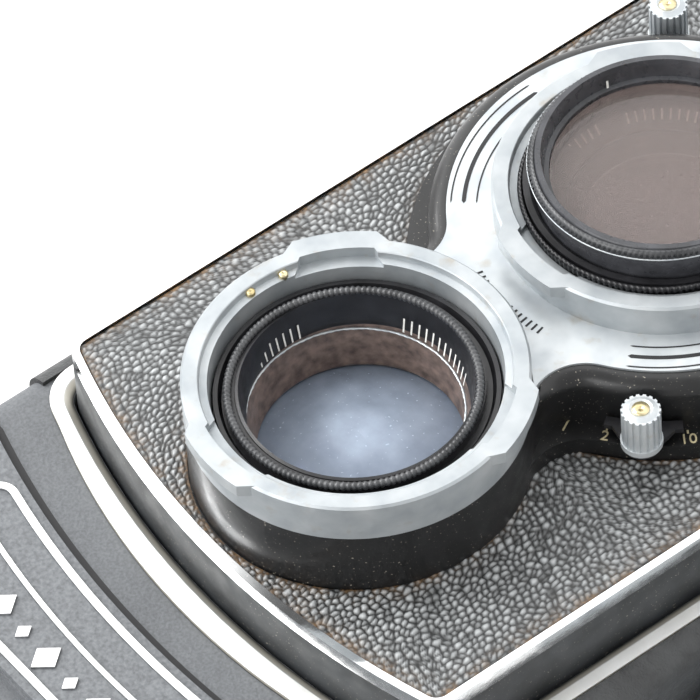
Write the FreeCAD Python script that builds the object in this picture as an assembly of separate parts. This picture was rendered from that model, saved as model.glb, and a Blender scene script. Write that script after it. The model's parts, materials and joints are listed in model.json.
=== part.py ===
import FreeCAD, Part
import math
import os

# Twin lens reflex camera for 6 x 6 cm roll film, hood folded, focused at infinity.
# The camera stands on its base: +Z is up, the lenses look along -Y, +X is right seen from the front.
# The origin is the mouth of the tripod thread, in the plane of the feet. All sizes are in mm.

# --- driving dimensions -----------------------------------------------------------------------
LENS_SPACING = 42.0
TAKING_Z = 41.0
VIEWING_Z = TAKING_Z + LENS_SPACING
RING_FACE_Y = -60.0

BODY_HALF_WIDTH = 38.0
BODY_FRONT_Y = -38.0
CASTING_BACK_Y = 34.6
BODY_BACK_Y = 38.0
CASTING_BOTTOM_Z = 3.6
BODY_TOP_Z = 127.0
BODY_WALL = 2.0
FRONT_WALL = 2.5
FRONT_CORNER_R = 3.0
LEATHER = 0.6

BOARD_HALF_WIDTH = 31.56
BOARD_BOTTOM_Z = 6.0
BOARD_CROWN_Z = TAKING_Z + 61.58
BOARD_ARCH_R = 102.0
BOARD_CORNER_R = 1.6
RIM_WIDTH = 0.9
RIM_DEPTH = 1.9
BOARD_FACE_Y = RING_FACE_Y + 13.2
STANDARD_BACK_Y = -29.0
STANDARD_WALL = 1.6
FOCUS_TRAVEL = 7.0
FOCUS_ANGLE = 170.0

RING_R = 18.6
RING_LUG_R = 19.56
RING_BORE_R = 15.8
RING_NOTCH_R = 17.24
RING_LIP_R = 16.7
RING_LEDGE = 0.9
LUG_HALF_ANGLE = 16.0
LUG_RAMP = 5.0
LUG_ANGLES = (-31.0, 89.0, 209.0)

FACE_PLATE_R = 23.6
PAD_R = 18.6
SHOULDER_R = 25.7
FLANGE_R = 28.2
LEVER_KNOB_R = 28.9
SPEED_KNOB_ANGLE = 135.7
APERTURE_KNOB_ANGLE = -40.0

FILM_PLANE_Y = 27.0
GATE_HALF = 28.0
GATE_TOP_Z = 69.7
TAKEUP_Y = 22.0
TAKEUP_Z = 87.0
SUPPLY_Y = -21.0
SUPPLY_Z = 15.2
SPOOL_R = 12.2
FOCUS_SHAFT_Y = -20.0
FOCUS_SHAFT_Z = 58.0

DOOR_HINGE_Y = 36.3
DOOR_HINGE_Z = 124.8
HINGE_R = 1.7
HINGE_TONGUES = ((-28.0, -20.3), (-11.7, 11.7), (20.3, 28.0))
HOOD_TOP_Z = 141.0
RUNNING = 0.06
GAP = 0.3

X_AXIS = FreeCAD.Vector(1, 0, 0)
Y_AXIS = FreeCAD.Vector(0, 1, 0)
Z_AXIS = FreeCAD.Vector(0, 0, 1)

# film path, counter, hood and other small places
SCREEN_HALF = 28.5
SCREEN_Y = -3.0
FRAME_OPENING_GROW = 3.9
BROW_RISE = 0.9
NAMEPLATE_HALF = 36.0
NAMEPLATE_CROWN_Z = TAKING_Z + 71.7
NAMEPLATE_ARCH_R = 125.0
BORDER_HALF = 27.5
LOZENGE_PITCH = 4.4
LUG_Y = -4.0
LUG_Z = 112.0
COUNTER_Y = 22.0
COUNTER_Z = 62.0
BUTTON_Y = 4.0
BUTTON_Z = 106.0
ROLLER_Y = FILM_PLANE_Y - 3.8
ROLLER_LOW_Z = 8.0
ROLLER_HIGH_Z = 73.3
ROLLER_R = 3.3
ROLLER_JOURNAL_R = 1.2
CAM_BASE_R = 8.6
DOOR_TOP_Z = 122.2
DOOR_BOTTOM_Z = 1.2
BASE_TOP_Z = 3.4
SOCKET_R = 8.0
HOOD_HALF_X = 35.0
HOOD_FRONT_Y = -36.5
HOOD_BACK_Y = 32.5
HOOD_BASE_Z = BODY_TOP_Z
LEAF = 0.8
LID_HINGE_Y = HOOD_FRONT_Y + 2.2
LID_HINGE_Z = HOOD_TOP_Z - 2.6
SIDE_LEAF_X = 31.6
LEFT_LEAF_Z = HOOD_BASE_Z + 1.9
RIGHT_LEAF_Z = LEFT_LEAF_Z + 1.2
REAR_LEAF_Z = RIGHT_LEAF_Z + 1.2
REAR_LEAF_Y = 28.8
MAGNIFIER_Y = 0.0
MAGNIFIER_Z = HOOD_TOP_Z - 4.0
MAGNIFIER_HINGE_Y = 20.0
MAGNIFIER_LENS_R = 10.5


# --- geometry helpers -------------------------------------------------------------------------
def point(x, y, z):
    return FreeCAD.Vector(x, y, z)


def behind(depth):
    """The y of a plane this far behind the front faces of the two bayonet rings."""
    return RING_FACE_Y + depth


def box(x0, x1, y0, y1, z0, z1):
    return Part.makeBox(x1 - x0, y1 - y0, z1 - z0, point(x0, y0, z0))


def rod_x(y, z, radius, x0, x1):
    return Part.makeCylinder(radius, x1 - x0, point(x0, y, z), X_AXIS)


def rod_y(x, z, radius, y0, y1):
    return Part.makeCylinder(radius, y1 - y0, point(x, y0, z), Y_AXIS)


def rod_z(x, y, radius, z0, z1):
    return Part.makeCylinder(radius, z1 - z0, point(x, y, z0), Z_AXIS)


def joined(shapes):
    whole = shapes[0]
    if len(shapes) > 1:
        whole = whole.fuse(list(shapes[1:]))
    return whole.removeSplitter()


def minus(shape, tools):
    return shape.cut(list(tools)).removeSplitter()


def mirrored_x(shape):
    return shape.mirror(point(0, 0, 0), X_AXIS)


def group(shapes):
    return Part.makeCompound(list(shapes))


def closed_face(points):
    return Part.Face(Part.makePolygon(list(points) + [points[0]]))


def turned_y(profile, z):
    """A solid of revolution about the lens axis at height z, from (radius, y) corners."""
    face = closed_face([point(r, y, 0) for r, y in profile])
    solid = face.revolve(point(0, 0, 0), Y_AXIS, 360)
    solid.translate(point(0, 0, z))
    return solid


def turned_x(profile, y, z):
    """A solid of revolution about a cross axis at (y, z), from (x, radius) corners."""
    face = closed_face([point(x, r, 0) for x, r in profile])
    solid = face.revolve(point(0, 0, 0), X_AXIS, 360)
    solid.translate(point(0, y, z))
    return solid


def polar(radius, degrees):
    """The (x, z) offset of a point on a circle seen from the front, 0 at +X, 90 at the top."""
    angle = math.radians(degrees)
    return radius * math.cos(angle), radius * math.sin(angle)


def edges_along(shape, axis, test):
    """The straight edges parallel to an axis whose middle passes the test."""
    found = []
    for edge in shape.Edges:
        if not isinstance(edge.Curve, Part.Line):
            continue
        run = edge.Vertexes[-1].Point - edge.Vertexes[0].Point
        if run.cross(axis).Length > 0.001 * run.Length:
            continue
        if test(edge.CenterOfMass):
            found.append(edge)
    return found


def arc_points(radius, start, end, cz):
    """An arc about (0, cz) in the XZ plane, by its start and end angle in degrees."""
    ends = []
    for degrees in (start, (start + end) / 2.0, end):
        x, z = polar(radius, degrees)
        ends.append(point(x, 0, cz + z))
    return Part.Arc(*ends).toShape()


def board_block(grow, y0, y1):
    """A slab with the lens board's outline, grown all round: flat sides, arched top."""
    half = BOARD_HALF_WIDTH + grow
    bottom = BOARD_BOTTOM_Z - grow
    crown = BOARD_CROWN_Z + grow
    radius = BOARD_ARCH_R + grow
    shoulder = crown - radius + math.sqrt(radius**2 - half**2)
    arch = Part.Arc(point(-half, y0, shoulder), point(0, y0, crown), point(half, y0, shoulder))
    corners = [
        point(half, y0, shoulder),
        point(half, y0, bottom),
        point(-half, y0, bottom),
        point(-half, y0, shoulder),
    ]
    outline = Part.Wire([arch.toShape()] + Part.makePolygon(corners).Edges)
    slab = Part.Face(outline).extrude(point(0, y1 - y0, 0))
    corner_r = BOARD_CORNER_R + max(grow, -1.0)
    return slab.makeFillet(corner_r, edges_along(slab, Y_AXIS, lambda c: True))


def eight_block(lower_r, upper_r, neck_r, y0, y1):
    """A slab in the shape of an eight round both lens axes, with concave arcs at its neck."""
    low = lower_r + neck_r
    high = upper_r + neck_r
    rise = (low**2 - high**2 + LENS_SPACING**2) / (2.0 * LENS_SPACING)
    reach = math.sqrt(low**2 - rise**2)
    low_angle = math.degrees(math.atan2(rise, reach))
    high_angle = math.degrees(math.atan2(rise - LENS_SPACING, reach))
    lower = arc_points(lower_r, 180 - low_angle, 360 + low_angle, 0)
    upper = arc_points(upper_r, high_angle, 180 - high_angle, LENS_SPACING)
    necks = []
    for side in (1, -1):
        feet = []
        for centre_z, angle, r in ((0, low_angle, lower_r), (LENS_SPACING, high_angle, upper_r)):
            x, z = polar(r, angle)
            feet.append(point(side * x, 0, centre_z + z))
        middle = point(side * (reach - neck_r), 0, rise)
        necks.append(Part.Arc(feet[0], middle, feet[1]).toShape())
    outline = Part.Wire(Part.__sortEdges__([lower, necks[0], upper, necks[1]]))
    slab = Part.Face(outline).extrude(point(0, y1 - y0, 0))
    slab.translate(point(0, y0, TAKING_Z))
    return slab


def knurled_rod(radius, length, teeth, depth):
    """A coin-edged cylinder along +Z from the origin, its edge cut by small round flutes."""
    body = Part.makeCylinder(radius, length)
    flute_r = math.pi * radius / teeth * 0.5
    flutes = []
    for i in range(teeth):
        angle = 2.0 * math.pi * i / teeth
        reach = radius + flute_r - depth
        base = point(reach * math.cos(angle), reach * math.sin(angle), -1)
        flutes.append(Part.makeCylinder(flute_r, length + 2, base))
    return body.cut(flutes)


def laid(shape, axis, place):
    """A shape built along +Z from the origin, turned to lie along an axis and moved."""
    turned = shape.copy()
    turned.Placement = FreeCAD.Placement(place, FreeCAD.Rotation(Z_AXIS, axis))
    return turned


def save(shapes):
    os.makedirs("parts", exist_ok=True)
    for name, shape in shapes.items():
        if not shape.isValid():
            raise ValueError(name + " is not a valid shape")
        shape.exportStep("parts/" + name + ".step")


# --- body -------------------------------------------------------------------------------------


def body_casting():
    width = BODY_HALF_WIDTH
    shell = box(-width, width, BODY_FRONT_Y, CASTING_BACK_Y, CASTING_BOTTOM_Z, BODY_TOP_Z)
    corners = edges_along(shell, Z_AXIS, lambda c: c.y < 0)
    shell = shell.makeFillet(FRONT_CORNER_R, corners)
    inner = width - BODY_WALL
    room = box(-inner, inner, BODY_FRONT_Y + FRONT_WALL, 40, -1, BODY_TOP_Z - BODY_WALL)
    screen_well = box(-SCREEN_HALF, SCREEN_HALF, SCREEN_Y - SCREEN_HALF, SCREEN_Y + SCREEN_HALF, 120, 130)
    board_opening = board_block(RIM_WIDTH + 0.4, -39, -35)
    bores = [
        rod_x(FOCUS_SHAFT_Y, FOCUS_SHAFT_Z, 2.0 + RUNNING, -39, -35),
        rod_x(TAKEUP_Y, TAKEUP_Z, 3.0 + RUNNING, -39, -35),
        rod_x(TAKEUP_Y, TAKEUP_Z, 3.0 + RUNNING, 35, 39),
        rod_x(SUPPLY_Y, SUPPLY_Z, 3.0 + RUNNING, 35, 39),
        rod_x(FOCUS_SHAFT_Y, FOCUS_SHAFT_Z, 2.0 + RUNNING, 35, 37),
        rod_x(BUTTON_Y, BUTTON_Z, 2.0 + RUNNING, -39, -35),
        rod_x(ROLLER_Y, ROLLER_LOW_Z, 1.2 + RUNNING, -36.8, 36.8),
        rod_x(ROLLER_Y, ROLLER_HIGH_Z, 1.2 + RUNNING, -36.8, 36.8),
        box(-4.5, 4.5, -39, -35, 3, 5.2),
    ]
    for x0, x1 in HINGE_TONGUES:
        bores.append(rod_x(DOOR_HINGE_Y, DOOR_HINGE_Z, HINGE_R + GAP, x0 - GAP, x1 + GAP))
    shell = minus(shell, [room, screen_well, board_opening] + bores)
    lugs = []
    for x0 in (-20.0, 12.0):
        web = box(x0, x0 + 8, CASTING_BACK_Y - 1, DOOR_HINGE_Y, DOOR_HINGE_Z - 1.0, DOOR_HINGE_Z + 1.7)
        lugs.append(joined([rod_x(DOOR_HINGE_Y, DOOR_HINGE_Z, HINGE_R, x0, x0 + 8), web]))
    shell = joined([shell] + lugs)
    return minus(shell, [rod_x(DOOR_HINGE_Y, DOOR_HINGE_Z, 1.0, -30, 30)])


def cone_block(front_half, gate_half, y0, y1):
    """A four-sided funnel from a small square at y0 to a large one at y1, about the lens axis."""
    wires = []
    for y, half in ((y0, front_half), (y1, gate_half)):
        low = TAKING_Z - half
        high = TAKING_Z + half
        corners = [(-half, low), (half, low), (half, high), (-half, high), (-half, low)]
        wires.append(Part.makePolygon([point(x, y, z) for x, z in corners]))
    return Part.makeLoft(wires, True, True)


def mirror_slab(half, low, high, depth0, depth1):
    """A plate at 45 degrees below the screen; low and high run along the slope."""
    slab = box(-half, half, low, high, -depth1, -depth0)
    slab.rotate(point(0, 0, 0), X_AXIS, 45)
    slab.translate(point(0, SCREEN_Y, VIEWING_Z))
    return slab


def film_chamber():
    """The light funnel from the taking lens to the film gate, with the gate's two rails."""
    top = GATE_TOP_Z
    gate = box(-35.9, 35.9, FILM_PLANE_Y - 3.0, FILM_PLANE_Y - 0.8, 12.2, top)
    rails = []
    for x0 in (-31.5, 29.5):
        rails.append(box(x0, x0 + 2, FILM_PLANE_Y - 0.9, FILM_PLANE_Y, 12.2, top))
    funnel = cone_block(9.0, GATE_HALF + 1.0, -27.5, FILM_PLANE_Y - 2.0)
    hollow = cone_block(7.8, GATE_HALF, -28.0, FILM_PLANE_Y - 2.0)
    window = box(-GATE_HALF, GATE_HALF, FILM_PLANE_Y - 2.5, 30, TAKING_Z - GATE_HALF, TAKING_Z + GATE_HALF)
    return minus(joined([gate, funnel] + rails), [hollow, window])


def mirror_carrier():
    """The sloping plate behind the mirror, with wings out to the side walls at its top."""
    return joined([mirror_slab(29.5, -26.0, 32.0, 1.2, 2.3), mirror_slab(35.9, 16.0, 32.0, 1.2, 2.3)])


def mirror():
    return mirror_slab(28.0, -25.0, 31.0, 0.0, 1.2)


def focusing_screen():
    half = SCREEN_HALF - 0.3
    return box(-half, half, SCREEN_Y - half, SCREEN_Y + half, BODY_TOP_Z - 1.6, BODY_TOP_Z - 0.1)


def trim_frame():
    """The bright frame round the lens board: a flat lip outside, a cove falling to the opening."""
    lip = board_block(FRAME_OPENING_GROW, BODY_FRONT_Y - 0.7, BODY_FRONT_Y)
    brow = lip.fuse([brow_block()])
    cove_wires = []
    for grow, y in ((2.5, BODY_FRONT_Y - 0.75), (RIM_WIDTH + 0.45, BODY_FRONT_Y - 0.05)):
        block = board_block(grow, y, y + 1)
        front = [face for face in block.Faces if abs(face.CenterOfMass.y - y) < 0.001][0]
        cove_wires.append(front.OuterWire)
    cove = Part.makeLoft(cove_wires, True, True)
    opening = board_block(RIM_WIDTH + 0.45, -40, -37)
    return minus(brow, [cove, opening])


def brow_block():
    """The wider arch of the frame over the board: a crescent between two arcs."""
    half = BOARD_HALF_WIDTH + FRAME_OPENING_GROW
    y0 = BODY_FRONT_Y - 0.7
    crown = BOARD_CROWN_Z + FRAME_OPENING_GROW
    radius = BOARD_ARCH_R + FRAME_OPENING_GROW
    foot = crown - radius + math.sqrt(radius**2 - (half - 6) ** 2)
    top = Part.Arc(
        point(6 - half, y0, foot), point(0, y0, crown + BROW_RISE), point(half - 6, y0, foot)
    )
    chord = Part.makePolygon([point(half - 6, y0, foot), point(0, y0, foot - 4), point(6 - half, y0, foot)])
    face = Part.Face(Part.Wire([top.toShape()] + chord.Edges))
    return face.extrude(point(0, 0.7, 0))


def plate_arch_block(half, crown, top, y0, y1):
    """A slab with a flat top and sides and an arched lower edge, rising to its crown in the middle."""
    radius = NAMEPLATE_ARCH_R
    foot = crown - radius + math.sqrt(radius**2 - half**2)
    arch = Part.Arc(point(-half, y0, foot), point(0, y0, crown), point(half, y0, foot))
    corners = [
        point(half, y0, foot),
        point(half, y0, top),
        point(-half, y0, top),
        point(-half, y0, foot),
    ]
    face = Part.Face(Part.Wire([arch.toShape()] + Part.makePolygon(corners).Edges))
    return face.extrude(point(0, y1 - y0, 0))


def nameplate():
    y_face = BODY_FRONT_Y - 1.0
    plate = plate_arch_block(NAMEPLATE_HALF, NAMEPLATE_CROWN_Z, BODY_TOP_Z - 0.2, y_face, BODY_FRONT_Y)
    y_rib = y_face - 0.3
    crown = NAMEPLATE_CROWN_Z
    border = plate_arch_block(BORDER_HALF, crown + 1.1, BODY_TOP_Z - 1.2, y_rib, y_face + 0.1)
    border = border.makeFillet(2.4, edges_along(border, Y_AXIS, lambda c: True))
    field = plate_arch_block(BORDER_HALF - 0.9, crown + 2.0, BODY_TOP_Z - 2.1, y_rib - 1, y_face + 1)
    field = field.makeFillet(1.5, edges_along(field, Y_AXIS, lambda c: True))
    border = border.cut(field)
    rib = plate_arch_block(BORDER_HALF - 0.5, crown + 6.0, crown + 20, y_rib, y_face + 0.1)
    rib = rib.cut(plate_arch_block(BORDER_HALF, crown + 6.6, crown + 21, y_rib - 1, y_face + 1))
    rib = rib.common(box(-40, 40, -45, -30, crown - 5, BODY_TOP_Z - 1.5))
    ornament = []
    for i in range(-5, 6):
        x = i * LOZENGE_PITCH
        z = crown + 9.9 - x**2 / (2.0 * NAMEPLATE_ARCH_R)
        size = 2.0 if i % 2 else 1.1
        ornament.append(lozenge(x, z, size * 0.8, size, y_rib, y_face + 0.1))
    return joined([plate, border, rib] + ornament)


def lozenge(x, z, half_width, half_height, y0, y1):
    """A raised four-sided stud, standing on one point."""
    corners = [(x + half_width, z), (x, z + half_height), (x - half_width, z), (x, z - half_height)]
    outline = Part.makePolygon([point(a, y0, b) for a, b in corners + corners[:1]])
    return Part.Face(outline).extrude(point(0, y1 - y0, 0))


def side_leather():
    """The two leather skins of the body's sides, each turning round the front corner."""
    width = BODY_HALF_WIDTH + LEATHER
    skin = box(-width, width, BODY_FRONT_Y - LEATHER, 33.6, 6.0, 100.0)
    skin = skin.makeFillet(FRONT_CORNER_R + LEATHER, edges_along(skin, Z_AXIS, lambda c: c.y < 0))
    core = box(-BODY_HALF_WIDTH, BODY_HALF_WIDTH, BODY_FRONT_Y, 60, 0, 120)
    core = core.makeFillet(FRONT_CORNER_R, edges_along(core, Z_AXIS, lambda c: c.y < 0))
    middle = BOARD_HALF_WIDTH + FRAME_OPENING_GROW + 0.15
    skin = skin.cut([core, box(-middle, middle, -50, 50, -10, 120)])
    holes = [
        rod_x(TAKEUP_Y, TAKEUP_Z, 7.6, -40, 40),
        rod_x(SUPPLY_Y, SUPPLY_Z, 7.6, 30, 40),
        rod_x(FOCUS_SHAFT_Y, FOCUS_SHAFT_Z, 14.0, -40, -30),
        rod_x(COUNTER_Y, COUNTER_Z, 4.6, -40, -30),
    ]
    return skin.cut(holes)


def strap_lugs():
    lug = joined(
        [
            rod_x(LUG_Y, LUG_Z, 3.2, BODY_HALF_WIDTH, BODY_HALF_WIDTH + 1.2),
            rod_x(LUG_Y, LUG_Z, 1.7, BODY_HALF_WIDTH + 1.0, BODY_HALF_WIDTH + 3.4),
            rod_x(LUG_Y, LUG_Z, 3.2, BODY_HALF_WIDTH + 3.2, BODY_HALF_WIDTH + 4.4),
        ]
    )
    return group([lug, mirrored_x(lug)])


def hinge_pin():
    return rod_x(DOOR_HINGE_Y, DOOR_HINGE_Z, 1.0, -28.0, 28.0)


def focus_scale_ring():
    """The fixed disc behind the focus knob that carries its index marks."""
    disc = rod_x(FOCUS_SHAFT_Y, FOCUS_SHAFT_Z, 13.6, -BODY_HALF_WIDTH - 1.2, -BODY_HALF_WIDTH)
    return disc.cut(rod_x(FOCUS_SHAFT_Y, FOCUS_SHAFT_Z, 2.0 + RUNNING, -50, -30))


def counter_window():
    """A bezel with a domed lens over the frame counter, beside the wind knob."""
    x = -BODY_HALF_WIDTH
    profile = [(x, 0), (x, 4.3), (x - 1.0, 4.3), (x - 1.4, 3.7), (x - 1.2, 3.2), (x - 1.2, 0)]
    return turned_x(profile, COUNTER_Y, COUNTER_Z)


def screw(x, z, y, radius):
    """A cheese-head screw facing forwards, its slot cut across."""
    head = rod_y(x, z, radius, y, y + 0.6)
    return head.cut(box(x - radius, x + radius, y - 0.1, y + 0.25, z - 0.2, z + 0.2))


def plate_screws():
    y = BODY_FRONT_Y - 1.6
    return group([screw(x, 120.0, y, 1.3) for x in (-31.8, 31.8)])


# --- film transport ---------------------------------------------------------------------------


def film_roller(z):
    """A plain roller on thin journals that turn in the casting's side walls."""
    return joined([rod_x(ROLLER_Y, z, ROLLER_R, -27, 27), rod_x(ROLLER_Y, z, ROLLER_JOURNAL_R, -36.6, 36.6)])


def takeup_spool():
    profile = [
        (-31, 0),
        (-31, SPOOL_R),
        (-30, SPOOL_R),
        (-30, 5.5),
        (30, 5.5),
        (30, SPOOL_R),
        (31, SPOOL_R),
        (31, 0),
    ]
    spool = turned_x(profile, TAKEUP_Y, TAKEUP_Z)
    bore = rod_x(TAKEUP_Y, TAKEUP_Z, 2.6, -40, 40)
    key_slot = box(-32, -27, TAKEUP_Y - 0.9, TAKEUP_Y + 0.9, TAKEUP_Z - 4.4, TAKEUP_Z + 4.4)
    film_slot = box(-14, 14, TAKEUP_Y - 0.8, TAKEUP_Y + 0.8, TAKEUP_Z - 7, TAKEUP_Z + 7)
    return minus(spool, [bore, key_slot, film_slot])


def pull_knob(y, z):
    """A spring knob whose centre pin holds a spool's end; pulled out, it lets the spool go."""
    x = BODY_HALF_WIDTH + LEATHER + 0.3
    neck = rod_x(y, z, 3.0, 34.0, x + 0.2)
    pin = rod_x(y, z, 2.5, 28.0, 34.2)
    head = laid(knurled_rod(7.0, 3.4, 36, 0.25), X_AXIS, point(x, y, z))
    cap = turned_x([(x + 3.3, 0), (x + 3.3, 6.2), (x + 4.1, 5.4), (x + 4.1, 0)], y, z)
    return joined([neck, pin, head, cap])


def wind_knob():
    x = -BODY_HALF_WIDTH - 1.0
    axle = rod_x(TAKEUP_Y, TAKEUP_Z, 3.0, x - 0.2, -34.0)
    tip = rod_x(TAKEUP_Y, TAKEUP_Z, 2.5, -34.2, -27.4)
    key = box(-33.6, -27.4, TAKEUP_Y - 0.75, TAKEUP_Y + 0.75, TAKEUP_Z - 4.2, TAKEUP_Z + 4.2)
    grip = laid(knurled_rod(13.5, 7.0, 60, 0.35), X_AXIS * -1, point(x - 1.5, TAKEUP_Y, TAKEUP_Z))
    hub = rod_x(TAKEUP_Y, TAKEUP_Z, 7.0, x - 1.7, x)
    cap = turned_x(
        [(x - 8.4, 0), (x - 8.4, 12.6), (x - 9.3, 11.8), (x - 9.3, 8.6), (x - 9.0, 8.2), (x - 9.0, 0)],
        TAKEUP_Y,
        TAKEUP_Z,
    )
    return joined([axle, tip, key, grip, hub, cap])


def counter_button():
    """The small release button by the wind knob, pressed before the film is wound on."""
    x = -BODY_HALF_WIDTH
    stem = rod_x(BUTTON_Y, BUTTON_Z, 2.0, x - 0.2, -34.5)
    cap = turned_x(
        [(x - 2.0, 0), (x - 2.0, 3.0), (x - 3.4, 3.0), (x - 3.8, 2.4), (x - 3.8, 0)], BUTTON_Y, BUTTON_Z
    )
    neck = rod_x(BUTTON_Y, BUTTON_Z, 2.0, x - 2.1, x)
    return joined([stem, neck, cap])


# --- focusing ---------------------------------------------------------------------------------
def focus_knob():
    x = -BODY_HALF_WIDTH - 1.5
    disc = laid(knurled_rod(16.0, 5.0, 72, 0.35), X_AXIS * -1, point(x - 3.4, FOCUS_SHAFT_Y, FOCUS_SHAFT_Z))
    skirt = turned_x([(x, 3.0), (x, 15.2), (x - 3.6, 15.2), (x - 3.6, 3.0)], FOCUS_SHAFT_Y, FOCUS_SHAFT_Z)
    cap = turned_x(
        [(x - 8.2, 0), (x - 8.2, 14.8), (x - 9.2, 14.0), (x - 9.2, 10.4), (x - 8.8, 10.0), (x - 8.8, 0)],
        FOCUS_SHAFT_Y,
        FOCUS_SHAFT_Z,
    )
    knob = joined([disc, skirt, cap])
    return minus(knob, [rod_x(FOCUS_SHAFT_Y, FOCUS_SHAFT_Z, 2.0, x - 6.0, x + 5)])


def focus_cam(x0):
    """A spiral cam: its radius grows by the focus travel over the knob's turn."""
    steps = 12
    spiral = []
    for i in range(steps + 1):
        turn = FOCUS_ANGLE * i / steps
        radius = CAM_BASE_R - GAP + FOCUS_TRAVEL * i / steps
        angle = math.radians(180.0 - turn)
        spiral.append(point(x0, radius * math.cos(angle), radius * math.sin(angle)))
    curve = Part.BSplineCurve()
    curve.interpolate(spiral)
    back = Part.Arc(spiral[-1], point(x0, 1.5, -10.5), spiral[0]).toShape()
    face = Part.Face(Part.Wire([curve.toShape(), back]))
    cam = face.extrude(point(1.5, 0, 0))
    cam.translate(point(0, FOCUS_SHAFT_Y, FOCUS_SHAFT_Z))
    return cam


def focus_camshaft():
    shaft = rod_x(FOCUS_SHAFT_Y, FOCUS_SHAFT_Z, 2.0, -45.4, 36.8)
    return joined([shaft, focus_cam(-32.4), focus_cam(30.9)])


# --- lens standard ----------------------------------------------------------------------------
def lens_standard():
    """The sliding box that carries both lenses; its walls run back into the body."""
    front_y = BOARD_FACE_Y + 0.6
    block = board_block(RIM_WIDTH, BOARD_FACE_Y + RIM_DEPTH, STANDARD_BACK_Y)
    step = board_block(0, front_y, BOARD_FACE_Y + RIM_DEPTH + 0.1)
    hollow = board_block(RIM_WIDTH - STANDARD_WALL, front_y + 2.0, STANDARD_BACK_Y + 1)
    holes = [
        rod_y(0, TAKING_Z, 17.0, front_y - 1, front_y + 3),
        rod_y(0, VIEWING_Z, 14.6, front_y - 1, front_y + 3),
    ]
    return minus(joined([block, step]), [hollow] + holes)


def board_rim():
    """The bright band that wraps the board's edge: its front and its outer side both show."""
    rim = board_block(RIM_WIDTH, BOARD_FACE_Y, BOARD_FACE_Y + RIM_DEPTH)
    return rim.cut(board_block(0, BOARD_FACE_Y - 1, BOARD_FACE_Y + RIM_DEPTH + 1))


def board_leather():
    skin = board_block(-0.15, BOARD_FACE_Y + 0.1, BOARD_FACE_Y + 0.6)
    tools = [eight_block(FLANGE_R + 0.1, PAD_R + 0.1, 5.9, BOARD_FACE_Y - 1, BOARD_FACE_Y + 2)]
    for x, z, radius in socket_places():
        tools.append(rod_y(x, z, radius + 1.0, BOARD_FACE_Y - 1, BOARD_FACE_Y + 2))
    return skin.cut(tools)


def lens_surround():
    """Black lacquered mount round both lenses: flange, rounded shoulder and viewing pad."""
    foot_y = BOARD_FACE_Y + 0.6
    flange = eight_block(FLANGE_R, PAD_R, 6.0, behind(11.2), foot_y)
    shoulder = eight_block(SHOULDER_R, PAD_R, 5.0, behind(4.4), behind(11.4))
    edge = [e for e in shoulder.Edges if abs(e.CenterOfMass.y - behind(4.4)) < 0.001]
    shoulder = shoulder.makeFillet(1.9, [e for e in edge if e.Length > 6.0])
    pad = rod_y(0, VIEWING_Z, PAD_R, behind(5.0), foot_y)
    above_pad = rod_y(0, VIEWING_Z, PAD_R + 0.8, behind(3.0), behind(5.0))
    plate_seat = eight_block(FACE_PLATE_R + 0.05, PAD_R - 0.3, 5.75, behind(3), behind(4.95))
    tools = [
        above_pad,
        plate_seat,
        rod_y(0, TAKING_Z, 22.9, behind(3), foot_y + 1),
        rod_y(0, VIEWING_Z, 14.6, behind(3), foot_y + 1),
    ]
    return minus(joined([flange, shoulder, pad]), tools)


def face_plate():
    """The satin plate over the shutter, cut away round the viewing ring."""
    plate = eight_block(FACE_PLATE_R, PAD_R - 0.3, 5.8, behind(4.15), behind(4.95))
    return minus(
        plate,
        [
            rod_y(0, VIEWING_Z, RING_R + 0.1, behind(3), behind(6)),
            rod_y(0, TAKING_Z, 16.2, behind(3), behind(6)),
        ],
    )


def sector(radius, start, end, y0, y1, z):
    """A pie slice of a disc about a lens axis, between two angles."""
    mid = (start + end) / 2.0
    corners = [point(0, y0, z)]
    for angle in (start, mid, end):
        x, dz = polar(radius, angle)
        corners.append(point(x, y0, z + dz))
    arc = Part.Arc(corners[1], corners[2], corners[3]).toShape()
    sides = Part.makePolygon([corners[3], corners[0], corners[1]]).Edges
    return Part.Face(Part.Wire([arc] + sides)).extrude(point(0, y1 - y0, 0))


def ramped_sector(inner, outer, middle, y0, y1, z):
    """A pie slice whose arc drops by a slope at each end into a smaller circle."""
    half = LUG_HALF_ANGLE - LUG_RAMP / 2.0
    foot = half + LUG_RAMP
    corners = []
    for radius, swing in ((inner, -foot), (outer, -half), (outer, 0.0), (outer, half), (inner, foot)):
        x, dz = polar(radius, middle + swing)
        corners.append(point(x, y0, z + dz))
    arc = Part.Arc(corners[1], corners[2], corners[3]).toShape()
    sides = Part.makePolygon([corners[3], corners[4], point(0, y0, z), corners[0], corners[1]]).Edges
    return Part.Face(Part.Wire([arc] + sides)).extrude(point(0, y1 - y0, 0))


def bayonet_ring(z, foot_depth):
    """A size I bayonet: three outward lugs with a notch behind each in the bore."""
    top = behind(0)
    foot = behind(foot_depth)
    body = turned_y(
        [
            (RING_BORE_R - 0.4, foot),
            (RING_R, foot),
            (RING_R, top + 0.25),
            (RING_R - 0.25, top),
            (RING_LIP_R + 0.1, top),
            (RING_LIP_R, top + 0.1),
            (RING_LIP_R - 0.1, top + RING_LEDGE - 0.1),
            (RING_BORE_R, top + RING_LEDGE),
        ],
        z,
    )
    lugs = []
    notches = []
    for angle in LUG_ANGLES:
        lug = ramped_sector(RING_R - 0.3, RING_LUG_R, angle, top, top + 1.6, z)
        lugs.append(lug.cut(rod_y(0, z, RING_R - 1.0, top - 1, top + 3)))
        notches.append(ramped_sector(RING_BORE_R - 0.3, RING_NOTCH_R, angle, top - 1, top + 1.4, z))
    return minus(joined([body] + lugs), notches)


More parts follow.
